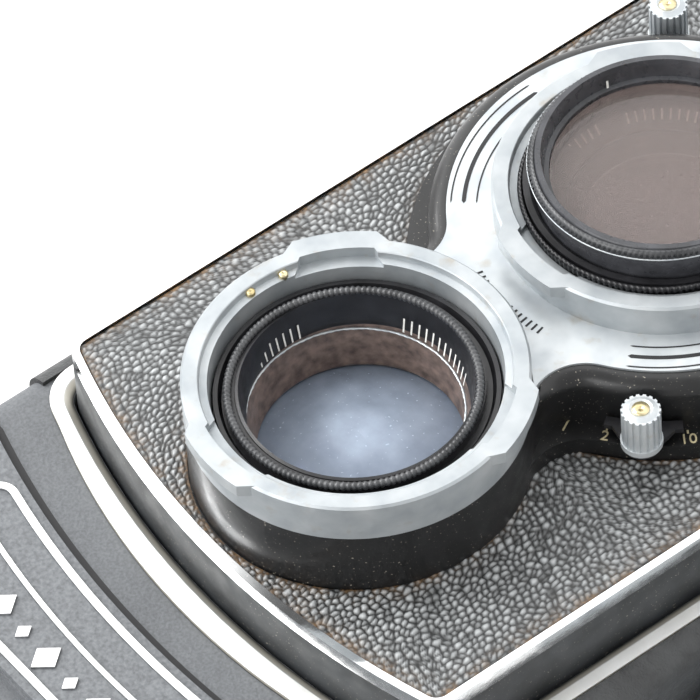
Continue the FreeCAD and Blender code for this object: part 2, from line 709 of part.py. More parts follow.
def viewing_cell():
    """Black barrel of the viewing lens, with the beaded ring round its mouth."""
    profile = [
        (15.3, behind(3.0)),
        (15.3, behind(5.0)),
        (14.5, behind(5.0)),
        (14.5, -38.0),
        (12.4, -38.0),
        (12.4, behind(13.9)),
        (13.0, behind(13.9)),
        (13.0, behind(2.4)),
        (13.75, behind(2.4)),
        (13.75, behind(3.6)),
        (14.4, behind(3.6)),
        (14.8, behind(3.0)),
    ]
    return turned_y(profile, VIEWING_Z)


def viewing_name_ring():
    profile = [
        (12.95, behind(2.3)),
        (12.95, behind(12.6)),
        (11.4, behind(12.6)),
        (11.2, behind(12.2)),
        (11.66, behind(8.0)),
        (12.6, behind(2.2)),
    ]
    return turned_y(profile, VIEWING_Z)


def lens_element(z, radius, front_y, rim_y, back_rim_y, back_y):
    """A thick lens: both faces are spherical, meeting a straight edge."""
    front = Part.Arc(point(0, front_y, 0), *sag_points(front_y, rim_y, radius))
    back = Part.Arc(point(0, back_y, 0), *sag_points(back_y, back_rim_y, radius))
    edge = Part.makePolygon([point(radius, rim_y, 0), point(radius, back_rim_y, 0)])
    axis = Part.makePolygon([point(0, back_y, 0), point(0, front_y, 0)])
    outline = Part.Wire(Part.__sortEdges__([front.toShape(), back.toShape()] + edge.Edges + axis.Edges))
    glass = Part.Face(outline).revolve(point(0, 0, 0), Y_AXIS, 360)
    glass.translate(point(0, 0, z))
    return glass


def sag_points(pole_y, rim_y, radius):
    """A middle point and the rim point of a sphere's meridian from its pole."""
    sag = rim_y - pole_y
    half = radius / 2.0
    sphere_r = (radius**2 + sag**2) / (2.0 * abs(sag))
    rise = sphere_r - math.sqrt(sphere_r**2 - half**2)
    middle = point(half, pole_y + math.copysign(rise, sag), 0)
    return middle, point(radius, rim_y, 0)


def viewing_glass():
    front = lens_element(VIEWING_Z, 12.3, behind(10.4), behind(13.2), behind(14.0), behind(15.2))
    rear = lens_element(VIEWING_Z, 12.3, behind(17.6), behind(17.0), behind(19.2), behind(21.4))
    return group([front, rear])


def taking_cell():
    """Front cell of the taking lens, its knurled mouth standing proud of the bayonet ring."""
    profile = [
        (15.2, behind(-0.1)),
        (15.2, behind(1.2)),
        (14.7, behind(1.5)),
        (14.7, behind(6.2)),
        (11.4, behind(6.2)),
        (11.4, behind(5.4)),
        (14.12, behind(4.8)),
        (14.12, behind(0.2)),
        (14.5, behind(-0.1)),
    ]
    return turned_y(profile, TAKING_Z)


def taking_name_ring():
    profile = [
        (14.05, behind(2.6)),
        (14.05, behind(4.7)),
        (11.5, behind(5.25)),
        (10.6, behind(5.25)),
        (10.6, behind(4.9)),
        (13.4, behind(2.6)),
    ]
    return turned_y(profile, TAKING_Z)


def taking_glass():
    front = lens_element(TAKING_Z, 11.3, behind(3.9), behind(5.5), behind(7.2), behind(7.6))
    middle = lens_element(TAKING_Z, 8.6, behind(9.5), behind(9.0), behind(10.6), behind(10.1))
    rear = lens_element(TAKING_Z, 8.6, behind(15.4), behind(15.1), behind(17.2), behind(18.6))
    return group([front, middle, rear])


def shutter_housing():
    """The leaf shutter's case behind the face plate, with the rear lens barrel."""
    profile = [
        (22.6, behind(5.1)),
        (22.6, behind(13.0)),
        (16.8, behind(13.0)),
        (16.8, behind(16.0)),
        (10.6, behind(16.0)),
        (10.6, behind(19.5)),
        (8.65, behind(19.5)),
        (8.65, behind(13.6)),
        (14.6, behind(13.6)),
        (14.6, behind(11.0)),
        (8.65, behind(11.0)),
        (8.65, behind(8.8)),
        (11.4, behind(8.8)),
        (11.4, behind(6.3)),
        (14.8, behind(6.3)),
        (14.8, behind(5.1)),
    ]
    return turned_y(profile, TAKING_Z)


def shutter_blades():
    """Five thin blades, each a crescent in its own layer, shown closed over the aperture."""
    blades = []
    for i in range(5):
        y0 = behind(11.2 + 0.45 * i)
        blade = sector(13.8, 72 * i - 45, 72 * i + 45, y0, y0 + 0.2, TAKING_Z)
        tail = rod_y(*hub_offset(72 * i), 3.0, y0, y0 + 0.2)
        blades.append(joined([blade, tail]))
    return group(blades)


def hub_offset(degrees):
    x, dz = polar(1.2, degrees)
    return -x, TAKING_Z - dz


def lever_arm(angle, y0, y1):
    """A flat arm that comes out from under the shoulder and narrows to its knob."""
    x, dz = polar(LEVER_KNOB_R, angle)
    tab = rod_y(x, TAKING_Z + dz, 2.0, y0, y1)
    foot = sector(27.2, angle - 9, angle + 9, y0, y1, TAKING_Z)
    corners = []
    for radius, swing in ((26.2, -9.0), (26.2, 9.0), (LEVER_KNOB_R + 1.2, 2.4), (LEVER_KNOB_R + 1.2, -2.4)):
        dx, dz = polar(radius, angle + swing)
        corners.append(point(dx, y0, TAKING_Z + dz))
    wedge = closed_face(corners).extrude(point(0, y1 - y0, 0))
    shoulder = rod_y(0, TAKING_Z, SHOULDER_R + GAP, y0 - 1, y1 + 1)
    return minus(joined([foot, tab, wedge]), [shoulder])


def lever_knob(angle):
    """A fluted knob with a dished top on the end of its lever."""
    x, dz = polar(LEVER_KNOB_R, angle)
    z = TAKING_Z + dz
    barrel = laid(knurled_rod(2.15, 4.8, 18, 0.22), Y_AXIS, point(x, behind(4.3), z))
    crown_outline = [
        (0, behind(4.15)),
        (1.0, behind(4.15)),
        (1.3, behind(4.0)),
        (1.95, behind(4.35)),
        (0, behind(4.35)),
    ]
    crown = turned_y(crown_outline, z)
    crown.translate(point(x, 0, 0))
    base = rod_y(x, z, 2.3, behind(8.9), behind(9.6))
    return joined([barrel, crown, base])


def cocking_lever():
    """The cocking and release lever under the taking lens, swung one way and the other."""
    y0 = behind(10.35)
    y1 = behind(10.95)
    arm = lever_arm(-90.0, y0, y1)
    x, dz = polar(LEVER_KNOB_R, -90.0)
    z = TAKING_Z + dz
    finger = rod_y(x, z, 1.6, behind(5.2), y0 + 0.1)
    tip_outline = [
        (0, behind(4.6)),
        (1.3, behind(4.6)),
        (2.1, behind(5.0)),
        (2.1, behind(5.8)),
        (0, behind(5.8)),
    ]
    tip = turned_y(tip_outline, z)
    return joined([arm, finger, tip])


def socket_places():
    """Centre and radius of the cable release socket and of the flash contact.

    Both lie outside the cocking lever's swing.
    """
    return [(-20.5, TAKING_Z - 27.5, 2.2), (18.0, TAKING_Z - 28.8, 1.7)]


def shutter_sockets():
    """The cable release socket and the flash contact below the shutter."""
    sockets = []
    for x, z, radius in socket_places():
        stem = rod_y(x, z, radius, behind(7.6), BOARD_FACE_Y + 0.6)
        flange = rod_y(x, z, radius + 0.9, BOARD_FACE_Y - 0.9, BOARD_FACE_Y + 0.6)
        bore = rod_y(x, z, radius * 0.55, behind(7.0), behind(11.5))
        sockets.append(minus(joined([stem, flange]), [bore]))
    return group(sockets)


# --- filter -----------------------------------------------------------------------------------
def filter_rim():
    """Screw-in filter mount: a smooth wall, a knurled bevel at its mouth and steps inside."""
    profile = [
        (14.0, behind(-0.2)),
        (14.3, behind(-3.3)),
        (14.3, behind(-3.55)),
        (13.75, behind(-4.3)),
        (13.15, behind(-4.3)),
        (13.0, behind(-3.6)),
        (12.8, behind(-2.0)),
        (12.3, behind(-1.9)),
        (12.3, behind(2.2)),
        (14.05, behind(2.2)),
    ]
    return turned_y(profile, TAKING_Z)


def filter_glass():
    return rod_y(0, TAKING_Z, 12.25, behind(-1.4), behind(0.4))


# --- back door --------------------------------------------------------------------------------


def back_door():
    """The back and base in one L-shaped shell, hinged at the upper rear edge."""
    width = BODY_HALF_WIDTH
    back = box(-width, width, CASTING_BACK_Y + 0.3, BODY_BACK_Y, DOOR_BOTTOM_Z, DOOR_TOP_Z)
    back = back.makeFillet(2.6, edges_along(back, Z_AXIS, lambda c: c.y > 37))
    pocket = box(-width + 3.5, width - 3.5, CASTING_BACK_Y, BODY_BACK_Y - 1.6, BASE_TOP_Z + 6, DOOR_TOP_Z - 6)
    base = box(-width, width, BODY_FRONT_Y + 0.6, BODY_BACK_Y - 3, DOOR_BOTTOM_Z, BASE_TOP_Z)
    base = base.makeFillet(2.6, edges_along(base, Z_AXIS, lambda c: c.y < -30))
    tongues = []
    for x0, x1 in HINGE_TONGUES:
        barrel = rod_x(DOOR_HINGE_Y, DOOR_HINGE_Z, HINGE_R, x0, x1)
        web = box(x0, x1, DOOR_HINGE_Y - 1.2, DOOR_HINGE_Y + 1.5, DOOR_TOP_Z - 1, DOOR_HINGE_Z - 0.6)
        tongues.append(joined([barrel, web]))
    door = joined([minus(back, [pocket]), base] + tongues)
    tools = [
        rod_x(DOOR_HINGE_Y, DOOR_HINGE_Z, 1.0 + RUNNING, -30, 30),
        rod_z(0, 0, SOCKET_R, 0, 10),
    ]
    return minus(door, tools)


def back_leather():
    return box(-35.0, 35.0, BODY_BACK_Y, BODY_BACK_Y + LEATHER, 7.0, 119.0).cut(
        box(-24.0, 24.0, 30, 45, 42.0, 92.0)
    )


def exposure_plate():
    """The plain guide plate on the back, ringed by the leather."""
    plate = box(-23.6, 23.6, BODY_BACK_Y, BODY_BACK_Y + LEATHER, 42.4, 91.6)
    return plate.makeFillet(2.0, edges_along(plate, Y_AXIS, lambda c: True))


def pressure_plate():
    """The sprung plate that keeps the film flat, on two posts in the door."""
    plate = box(-32.0, 32.0, FILM_PLANE_Y + 0.4, FILM_PLANE_Y + 1.6, 10.0, 72.0)
    plate = plate.makeFillet(1.5, edges_along(plate, Y_AXIS, lambda c: True))
    posts = [rod_y(0, z, 2.0, FILM_PLANE_Y + 1.5, BODY_BACK_Y - 1.6) for z in (25.0, 57.0)]
    return joined([plate] + posts)


def base_feet():
    feet = []
    for x in (-31.0, 31.0):
        for y in (-30.0, 31.0):
            foot = Part.makeCone(2.4, 3.2, DOOR_BOTTOM_Z, point(x, y, 0))
            feet.append(foot)
    return group(feet)


def tripod_socket():
    """A quarter-inch tripod bush, flush with the feet, its bore at the thread's minor size."""
    bush = joined([rod_z(0, 0, SOCKET_R, 0, 3.4), rod_z(0, 0, 6.0, 3.3, 8.0)])
    return minus(bush, [rod_z(0, 0, 2.6, -1, 6.5)])


def latch_lever():
    """The flat lever that turns round the tripod bush to free the base."""
    ring = rod_z(0, 0, 12.0, 0.4, 1.1).cut(rod_z(0, 0, SOCKET_R + RUNNING, -1, 3))
    arm = box(9.0, 24.0, -3.2, 3.2, 0.4, 1.1)
    tip = rod_z(24.0, 0, 3.2, 0.4, 1.1)
    return joined([ring, arm, tip])


def latch_hook():
    """The bolt that the lever draws back from the notch in the body's front edge."""
    bolt = box(-3.8, 3.8, BODY_FRONT_Y + 0.2, -12.0, BASE_TOP_Z + 0.05, BASE_TOP_Z + 1.4)
    return bolt.makeFillet(0.9, edges_along(bolt, Z_AXIS, lambda c: c.y < -30))


# --- hood -------------------------------------------------------------------------------------


def hood_base():
    """The tray that the hood folds into: a low wall with a window over the screen."""
    tray = box(-HOOD_HALF_X, HOOD_HALF_X, HOOD_FRONT_Y, HOOD_BACK_Y, HOOD_BASE_Z, HOOD_BASE_Z + 9.0)
    tray = tray.makeFillet(3.0, edges_along(tray, Z_AXIS, lambda c: True))
    inner = box(-33.6, 33.6, HOOD_FRONT_Y + 1.4, HOOD_BACK_Y - 1.4, HOOD_BASE_Z + 1.2, HOOD_BASE_Z + 20)
    half = SCREEN_HALF - 1.5
    window = box(-half, half, SCREEN_Y - half, SCREEN_Y + half, HOOD_BASE_Z - 1, HOOD_BASE_Z + 3)
    ears = []
    for x0 in (-33.0, 29.8):
        ear = joined(
            [
                box(x0, x0 + 3.2, HOOD_FRONT_Y, LID_HINGE_Y + 1.6, HOOD_BASE_Z + 8.0, LID_HINGE_Z),
                rod_x(LID_HINGE_Y, LID_HINGE_Z, 1.6, x0, x0 + 3.2),
            ]
        )
        ears.append(ear)
    pin = rod_x(LID_HINGE_Y, LID_HINGE_Z, 0.9, -33.0, 33.0)
    return joined([minus(tray, [inner, window])] + ears + [pin])


def hood_lid():
    """The lid that closes the hood: a shallow pan with its skirt, hinged at the front."""
    lid = box(-HOOD_HALF_X, HOOD_HALF_X, HOOD_FRONT_Y, HOOD_BACK_Y, HOOD_BASE_Z + 9.3, HOOD_TOP_Z)
    lid = lid.makeFillet(3.0, edges_along(lid, Z_AXIS, lambda c: True))
    top_edges = [e for e in lid.Edges if abs(e.CenterOfMass.z - HOOD_TOP_Z) < 0.001]
    lid = lid.makeFillet(1.2, top_edges)
    inner = box(-33.8, 33.8, HOOD_FRONT_Y + 1.2, HOOD_BACK_Y - 1.2, HOOD_BASE_Z + 5, HOOD_TOP_Z - 1.2)
    ear_rooms = []
    for x0 in (-33.4, 29.4):
        ear_rooms.append(box(x0, x0 + 4.0, -45, LID_HINGE_Y + 2.4, HOOD_BASE_Z + 5, HOOD_TOP_Z + 5))
    front_room = box(-29.6, 29.6, -45, LID_HINGE_Y - 1.7, HOOD_BASE_Z + 5, HOOD_TOP_Z + 5)
    swing_room = box(-29.6, 29.6, -45, LID_HINGE_Y, HOOD_BASE_Z + 5, LID_HINGE_Z - 1.0)
    outer_rooms = [
        box(-45, -33.0, -45, LID_HINGE_Y + 2.4, HOOD_BASE_Z + 5, HOOD_TOP_Z + 5),
        box(33.0, 45, -45, LID_HINGE_Y + 2.4, HOOD_BASE_Z + 5, HOOD_TOP_Z + 5),
    ]
    barrel = rod_x(LID_HINGE_Y, LID_HINGE_Z, 1.7, -29.4, 29.4)
    web = box(-29.4, 29.4, LID_HINGE_Y, LID_HINGE_Y + 2.5, LID_HINGE_Z - 0.2, HOOD_TOP_Z - 1.0)
    lid = minus(lid, [inner, front_room, swing_room] + ear_rooms + outer_rooms)
    brackets = [rod_x(MAGNIFIER_HINGE_Y, MAGNIFIER_Z, 0.6, -11.3, 11.3)]
    for x0 in (-11.3, 9.3):
        y0 = MAGNIFIER_HINGE_Y - 1.4
        brackets.append(box(x0, x0 + 2.0, y0, y0 + 2.8, MAGNIFIER_Z - 1.0, HOOD_TOP_Z - 1.1))
    lid = joined([lid, barrel, web] + brackets)
    return minus(lid, [rod_x(LID_HINGE_Y, LID_HINGE_Z, 0.9 + RUNNING, -40, 40)])


def side_leaf(side, z):
    """A side wall of the hood, folded flat over the screen, with its hinge barrel."""
    edge = side * SIDE_LEAF_X
    far = edge - side * 56.0
    x0, x1 = sorted((edge, far))
    leaf = box(x0, x1, -29.0, 25.0, z - LEAF / 2, z + LEAF / 2)
    leaf = leaf.makeFillet(4.0, edges_along(leaf, Z_AXIS, lambda c: abs(c.x - far) < 1))
    barrel = Part.makeCylinder(0.65, 50.0, point(edge, -27.0, z), Y_AXIS)
    return joined([leaf, barrel])


def rear_leaf():
    leaf = box(-29.0, 29.0, -24.0, REAR_LEAF_Y, REAR_LEAF_Z - LEAF / 2, REAR_LEAF_Z + LEAF / 2)
    leaf = leaf.makeFillet(4.0, edges_along(leaf, Z_AXIS, lambda c: c.y < 0))
    barrel = rod_x(REAR_LEAF_Y, REAR_LEAF_Z, 0.65, -27.0, 27.0)
    return joined([leaf, barrel])


def magnifier_arm():
    """The ring that carries the magnifier, folded up under the lid on its own hinge."""
    frame = rod_z(0, MAGNIFIER_Y, MAGNIFIER_LENS_R + 2.0, MAGNIFIER_Z - 0.8, MAGNIFIER_Z + 0.8)
    strap = box(-8.0, 8.0, MAGNIFIER_Y, MAGNIFIER_HINGE_Y, MAGNIFIER_Z - 0.5, MAGNIFIER_Z + 0.5)
    barrel = rod_x(MAGNIFIER_HINGE_Y, MAGNIFIER_Z, 1.3, -9.0, 9.0)
    arm = joined([frame, strap, barrel])
    tools = [
        rod_z(0, MAGNIFIER_Y, MAGNIFIER_LENS_R, 120, 150),
        rod_x(MAGNIFIER_HINGE_Y, MAGNIFIER_Z, 0.6 + RUNNING, -20, 20),
    ]
    return minus(arm, tools)


def magnifier_lens():
    """A double convex lens filling the ring."""
    rim = 0.35
    sag = 1.3
    sphere_r = (MAGNIFIER_LENS_R**2 + sag**2) / (2.0 * sag)
    disc = rod_z(0, MAGNIFIER_Y, MAGNIFIER_LENS_R, MAGNIFIER_Z - 2, MAGNIFIER_Z + 2)
    for side in (-1, 1):
        centre = point(0, MAGNIFIER_Y, MAGNIFIER_Z + side * (rim + sag - sphere_r))
        disc = disc.common(Part.makeSphere(sphere_r, centre))
    return disc


def all_parts():
    parts = {
        "body_casting": body_casting(),
        "film_chamber": film_chamber(),
        "mirror": mirror(),
        "mirror_carrier": mirror_carrier(),
        "focusing_screen": focusing_screen(),
        "trim_frame": trim_frame(),
        "nameplate": nameplate(),
        "side_leather": side_leather(),
        "strap_lugs": strap_lugs(),
        "hinge_pin": hinge_pin(),
        "focus_scale_ring": focus_scale_ring(),
        "counter_window": counter_window(),
        "plate_screws": plate_screws(),
        "film_roller_lower": film_roller(ROLLER_LOW_Z),
        "film_roller_upper": film_roller(ROLLER_HIGH_Z),
        "takeup_spool": takeup_spool(),
        "supply_pull_knob": pull_knob(SUPPLY_Y, SUPPLY_Z),
        "takeup_pull_knob": pull_knob(TAKEUP_Y, TAKEUP_Z),
        "wind_knob": wind_knob(),
        "counter_button": counter_button(),
        "focus_knob": focus_knob(),
        "focus_camshaft": focus_camshaft(),
        "lens_standard": lens_standard(),
        "board_rim": board_rim(),
        "board_leather": board_leather(),
        "lens_surround": lens_surround(),
        "face_plate": face_plate(),
        "viewing_bayonet": bayonet_ring(VIEWING_Z, 5.0),
        "taking_bayonet": bayonet_ring(TAKING_Z, 4.15),
        "viewing_cell": viewing_cell(),
        "viewing_name_ring": viewing_name_ring(),
        "viewing_glass": viewing_glass(),
        "taking_cell": taking_cell(),
        "taking_name_ring": taking_name_ring(),
        "taking_glass": taking_glass(),
        "shutter_housing": shutter_housing(),
        "shutter_blades": shutter_blades(),
        "shutter_sockets": shutter_sockets(),
        "speed_lever": lever_arm(SPEED_KNOB_ANGLE, behind(9.6), behind(10.2)),
        "speed_knob": lever_knob(SPEED_KNOB_ANGLE),
        "aperture_lever": lever_arm(APERTURE_KNOB_ANGLE, behind(9.6), behind(10.2)),
        "aperture_knob": lever_knob(APERTURE_KNOB_ANGLE),
        "cocking_lever": cocking_lever(),
        "filter_rim": filter_rim(),
        "filter_glass": filter_glass(),
        "back_door": back_door(),
        "back_leather": back_leather(),
        "exposure_plate": exposure_plate(),
        "pressure_plate": pressure_plate(),
        "base_feet": base_feet(),
        "tripod_socket": tripod_socket(),
        "latch_lever": latch_lever(),
        "latch_hook": latch_hook(),
        "hood_base": hood_base(),
        "hood_lid": hood_lid(),
        "hood_leaf_left": side_leaf(-1, LEFT_LEAF_Z),
        "hood_leaf_right": side_leaf(1, RIGHT_LEAF_Z),
        "hood_leaf_rear": rear_leaf(),
        "magnifier_arm": magnifier_arm(),
        "magnifier_lens": magnifier_lens(),
    }
    return parts


save(all_parts())
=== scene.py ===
import json
import math

import bmesh
import bpy
import numpy as np
from mathutils import Matrix, Vector


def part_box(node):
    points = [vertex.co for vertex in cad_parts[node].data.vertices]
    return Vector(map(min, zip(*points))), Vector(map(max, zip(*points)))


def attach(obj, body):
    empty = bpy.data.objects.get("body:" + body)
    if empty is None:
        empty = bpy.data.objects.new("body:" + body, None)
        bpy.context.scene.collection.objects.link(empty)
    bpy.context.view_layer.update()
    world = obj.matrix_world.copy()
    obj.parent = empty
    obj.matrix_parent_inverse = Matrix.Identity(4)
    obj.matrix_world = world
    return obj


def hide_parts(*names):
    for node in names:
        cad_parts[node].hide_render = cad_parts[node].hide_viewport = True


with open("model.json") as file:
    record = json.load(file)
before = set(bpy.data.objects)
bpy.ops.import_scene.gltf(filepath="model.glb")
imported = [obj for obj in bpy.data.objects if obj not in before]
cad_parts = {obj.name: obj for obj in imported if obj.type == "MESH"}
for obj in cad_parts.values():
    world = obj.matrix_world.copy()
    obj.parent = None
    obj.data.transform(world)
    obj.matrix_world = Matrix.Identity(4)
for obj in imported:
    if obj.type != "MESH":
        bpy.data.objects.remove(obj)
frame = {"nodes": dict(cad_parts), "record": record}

# Looks of a twin lens reflex camera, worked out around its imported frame. Sizes are in metres.
MM = 0.001
TAU = 2.0 * math.pi
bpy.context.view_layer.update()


# --- places taken from the frame ---------------------------------------------------------------
def middle(node):
    """The middle of a node's box."""
    low, high = (np.array(corner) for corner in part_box(node))
    return (low + high) / 2.0


TAKING = middle("taking_bayonet")
VIEWING = middle("viewing_bayonet")
RING_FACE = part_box("viewing_bayonet")[0][1]
BOARD_LOW, BOARD_HIGH = (np.array(corner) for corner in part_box("board_leather"))
NAMEPLATE_TOP_MM = (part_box("nameplate")[0][1] - RING_FACE) / MM
FRAME_TOP_MM = (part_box("trim_frame")[0][1] - RING_FACE) / MM

# Depths in millimetres behind the faces of the bayonet rings.
PLATE_INLAY_MM = 4.12
FLANGE_INLAY_MM = 11.14
CONE_MM = 6.4

# The lens board: circles about the lens axes that the leather stops at, and its arched top.
MOUNT_TAKING_MM = 27.9
MOUNT_VIEWING_MM = 18.3
BOARD_ARCH_MM = 101.8
PEBBLE_MM = 0.74
PEBBLE_DEPTH_MM = 0.24

# The nameplate's lower edge: its arch, its crown above the taking axis, and half its width.
NAMEPLATE_ARCH_MM = 125.0
NAMEPLATE_CROWN_MM = 71.7
NAMEPLATE_HALF_MM = 36.0


def behind(depth_mm):
    """The Y place of a depth in millimetres behind the faces of the bayonet rings."""
    return RING_FACE + depth_mm * MM


# --- meshes ------------------------------------------------------------------------------------
def mesh_piece(name, points, faces, material, body, smooth=True):
    """Makes a piece from arrays of points and of faces, with its faces turned outwards."""
    points = np.asarray(points, dtype=float)
    faces = np.asarray(faces, dtype=int)
    corner = points[faces]
    volume = 0.0
    for k in range(1, faces.shape[1] - 1):
        volume += np.einsum("ij,ij->", corner[:, 0], np.cross(corner[:, k], corner[:, k + 1]))
    if volume < 0:
        faces = faces[:, ::-1]
    mesh = bpy.data.meshes.new(name)
    mesh.from_pydata(points.tolist(), [], faces.tolist())
    mesh.validate()
    mesh.polygons.foreach_set("use_smooth", np.full(len(mesh.polygons), smooth))
    mesh.materials.append(material)
    piece = bpy.data.objects.new(name, mesh)
    bpy.context.scene.collection.objects.link(piece)
    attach(piece, body)
    return piece


def closed_grid(points):
    """Points and quads of a grid that closes on itself both ways: points is rows x columns x 3."""
    rows, columns = points.shape[:2]
    index = np.arange(rows * columns).reshape(rows, columns)
    right = np.roll(index, -1, axis=1)
    down = np.roll(index, -1, axis=0)
    corner = np.roll(down, -1, axis=1)
    faces = np.stack([index, right, corner, down], axis=-1).reshape(-1, 4)
    return points.reshape(-1, 3), faces


def about_axis(centre, radius, angle, y):
    """Points at a radius and an angle about a lens axis, angle counted from +X towards +Z."""
    x = centre[0] + radius * np.cos(angle)
    z = centre[2] + radius * np.sin(angle)
    return np.stack([x, np.broadcast_to(y, x.shape), z], axis=-1)


def turned_ring(name, centre, section, steps, swell, material, body):
    """A closed section of (radius, depth) in millimetres, turned about a lens axis.

    The radius at each point is the section's radius plus swell(angle, place along the section).
    """
    section = np.asarray(section, dtype=float)
    angle = np.linspace(0.0, TAU, steps, endpoint=False)[:, None]
    place = np.arange(len(section))[None, :]
    radius = (section[:, 0][None, :] + swell(angle, place)) * MM
    y = behind(section[:, 1])[None, :] + 0.0 * angle
    return mesh_piece(name, *closed_grid(about_axis(centre, radius, angle + 0 * radius, y)), material, body)


def beaded_ring(name, centre, radius_mm, depth_mm, tube_mm, beads, material, body):
    """A ring of beads: a tube round the axis whose own radius swells once for each bead."""
    around = np.linspace(0.0, TAU, beads * 6, endpoint=False)[:, None]
    across = np.linspace(0.0, TAU, 8, endpoint=False)[None, :]
    tube = tube_mm * (0.68 + 0.32 * np.abs(np.cos(around * beads / 2.0)))
    radius = (radius_mm + tube * np.cos(across)) * MM
    y = behind(depth_mm + tube * np.sin(across))
    return mesh_piece(name, *closed_grid(about_axis(centre, radius, around + 0 * radius, y)), material, body)


BOX_FACES = np.array([[0, 1, 3, 2], [4, 6, 7, 5], [0, 4, 5, 1], [2, 3, 7, 6], [0, 2, 6, 4], [1, 5, 7, 3]])


def radial_marks(name, centre, angles, inner, outer, width, material, body):
    """Engraved strokes that run outwards: each is a slim box between two (radius, depth) places.

    Its ends stand half the width each side of the stroke's angle, and it is 0.06 mm thick.
    """
    angles = np.radians(np.asarray(angles, dtype=float))
    points = []
    for radius, depth in (inner, outer):
        for side in (-0.5, 0.5):
            for lift in (-0.03, 0.03):
                turn = angles + side * width / radius
                points.append(about_axis(centre, radius * MM + 0 * turn, turn, behind(depth + lift)))
    points = np.stack(points, axis=1)
    first = (np.arange(len(angles)) * 8)[:, None, None]
    return mesh_piece(name, points.reshape(-1, 3), (first + BOX_FACES).reshape(-1, 4), material, body, False)


def arc_line(name, centre, radius, width, start, end, depth, material, body):
    """An inlaid line along an arc: a flat four-sided section carried from one angle to another.

    The section shrinks to nothing at both ends, which closes them.
    """
    steps = max(12, int(abs(end - start)))
    share = np.linspace(0.0, 1.0, steps + 1)
    full = np.minimum(1.0, np.minimum(share, 1 - share) * steps)[:, None]
    angle = np.radians(start + (end - start) * share)[:, None]
    offset = np.array([-0.5, 0.5, 0.5, -0.5])[None, :] * width * full
    lift = np.array([-0.03, -0.03, 0.03, 0.03])[None, :] * full
    points = about_axis(centre, (radius + offset) * MM, angle + 0 * offset, behind(depth + lift))
    index = np.arange((steps + 1) * 4).reshape(steps + 1, 4)
    side = np.roll(index, -1, axis=1)
    faces = np.stack([index[:-1], side[:-1], side[1:], index[1:]], axis=-1).reshape(-1, 4)
    piece = mesh_piece(name, points.reshape(-1, 3), faces, material, body, False)
    return weld(piece)


def weld(piece):
    """Merges points that lie on one another, so that pinched ends are closed."""
    shape = bmesh.new()
    shape.from_mesh(piece.data)
    bmesh.ops.remove_doubles(shape, verts=shape.verts, dist=1e-7)
    bmesh.ops.recalc_face_normals(shape, faces=shape.faces)
    shape.to_mesh(piece.data)
    shape.free()
    return piece


def numeral(name, text, centre, radius, degrees, depth, height, material, body):
    """A dial number at its angle, its top towards the lens axis, raised 0.05 mm from the face."""
    words = bpy.data.curves.new(name, "FONT")
    words.body = text
    words.size = height * MM
    words.align_x = "CENTER"
    words.align_y = "CENTER"
    words.extrude = 0.05 * MM
    words.resolution_u = 3
    source = bpy.data.objects.new(name + "_outline", words)
    bpy.context.scene.collection.objects.link(source)
    bpy.context.view_layer.update()
    mesh = bpy.data.meshes.new_from_object(source)
    bpy.data.objects.remove(source)
    angle = math.radians(degrees)
    upright = Matrix.Rotation(math.radians(90), 4, "X")
    swing = Matrix.Rotation(-(angle + math.pi / 2), 4, "Y")
    x = centre[0] + radius * MM * math.cos(angle)
    z = centre[2] + radius * MM * math.sin(angle)
    mesh.transform(Matrix.Translation((x, behind(depth), z)) @ swing @ upright)
    mesh.materials.append(material)
    piece = bpy.data.objects.new(name, mesh)
    bpy.context.scene.collection.objects.link(piece)
    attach(piece, body)
    return weld(piece)


# --- materials ---------------------------------------------------------------------------------
def colour(code):
    """An sRGB hex code as linear red, green, blue and alpha."""
    parts = [int(code[i : i + 2], 16) / 255.0 for i in (1, 3, 5)]
    return [c / 12.92 if c <= 0.04045 else ((c + 0.055) / 1.055) ** 2.4 for c in parts] + [1.0]


def add(tree, kind, inputs=(), **settings):
    """Adds a node with its settings, and sets or links its inputs."""
    made = tree.nodes.new(kind)
    for key, value in settings.items():
        setattr(made, key, value)
    for key, value in dict(inputs).items():
        if isinstance(value, bpy.types.NodeSocket):
            tree.links.new(value, made.inputs[key])
        else:
            made.inputs[key].default_value = value
    return made


def finish_of(name, inputs):
    """A material with one shader; gives the material, its nodes and the shader."""
    material = bpy.data.materials.new(name)
    material.use_nodes = True
    tree = material.node_tree
    tree.nodes.clear()
    shader = add(tree, "ShaderNodeBsdfPrincipled", inputs)
    add(tree, "ShaderNodeOutputMaterial", {"Surface": shader.outputs["BSDF"]})
    return material, tree, shader


def drive(tree, shader, socket, value):
    """Links a varying value to one of the shader's sockets."""
    tree.links.new(value, shader.inputs[socket])


def varied(tree, place, size_mm, low, high, detail=3.0, start=0.3, end=0.7):
    """Soft noise of one feature size, spread between two values from its start to its end."""
    inputs = {"Vector": place, "Scale": 1.0 / (size_mm * MM), "Detail": detail}
    noise = add(tree, "ShaderNodeTexNoise", inputs).outputs["Fac"]
    spread = {"Value": noise, "From Min": start, "From Max": end, "To Min": low, "To Max": high}
    return add(tree, "ShaderNodeMapRange", spread).outputs["Result"]


def tinted(tree, amount, dark, light):
    """A colour between two, by an amount from 0 to 1."""
    ramp = add(tree, "ShaderNodeValToRGB", {"Fac": amount})
    ramp.color_ramp.elements[0].color = colour(dark)
    ramp.color_ramp.elements[1].color = colour(light)
    return ramp.outputs["Color"]


def object_place(tree):
    return add(tree, "ShaderNodeTexCoord").outputs["Object"]


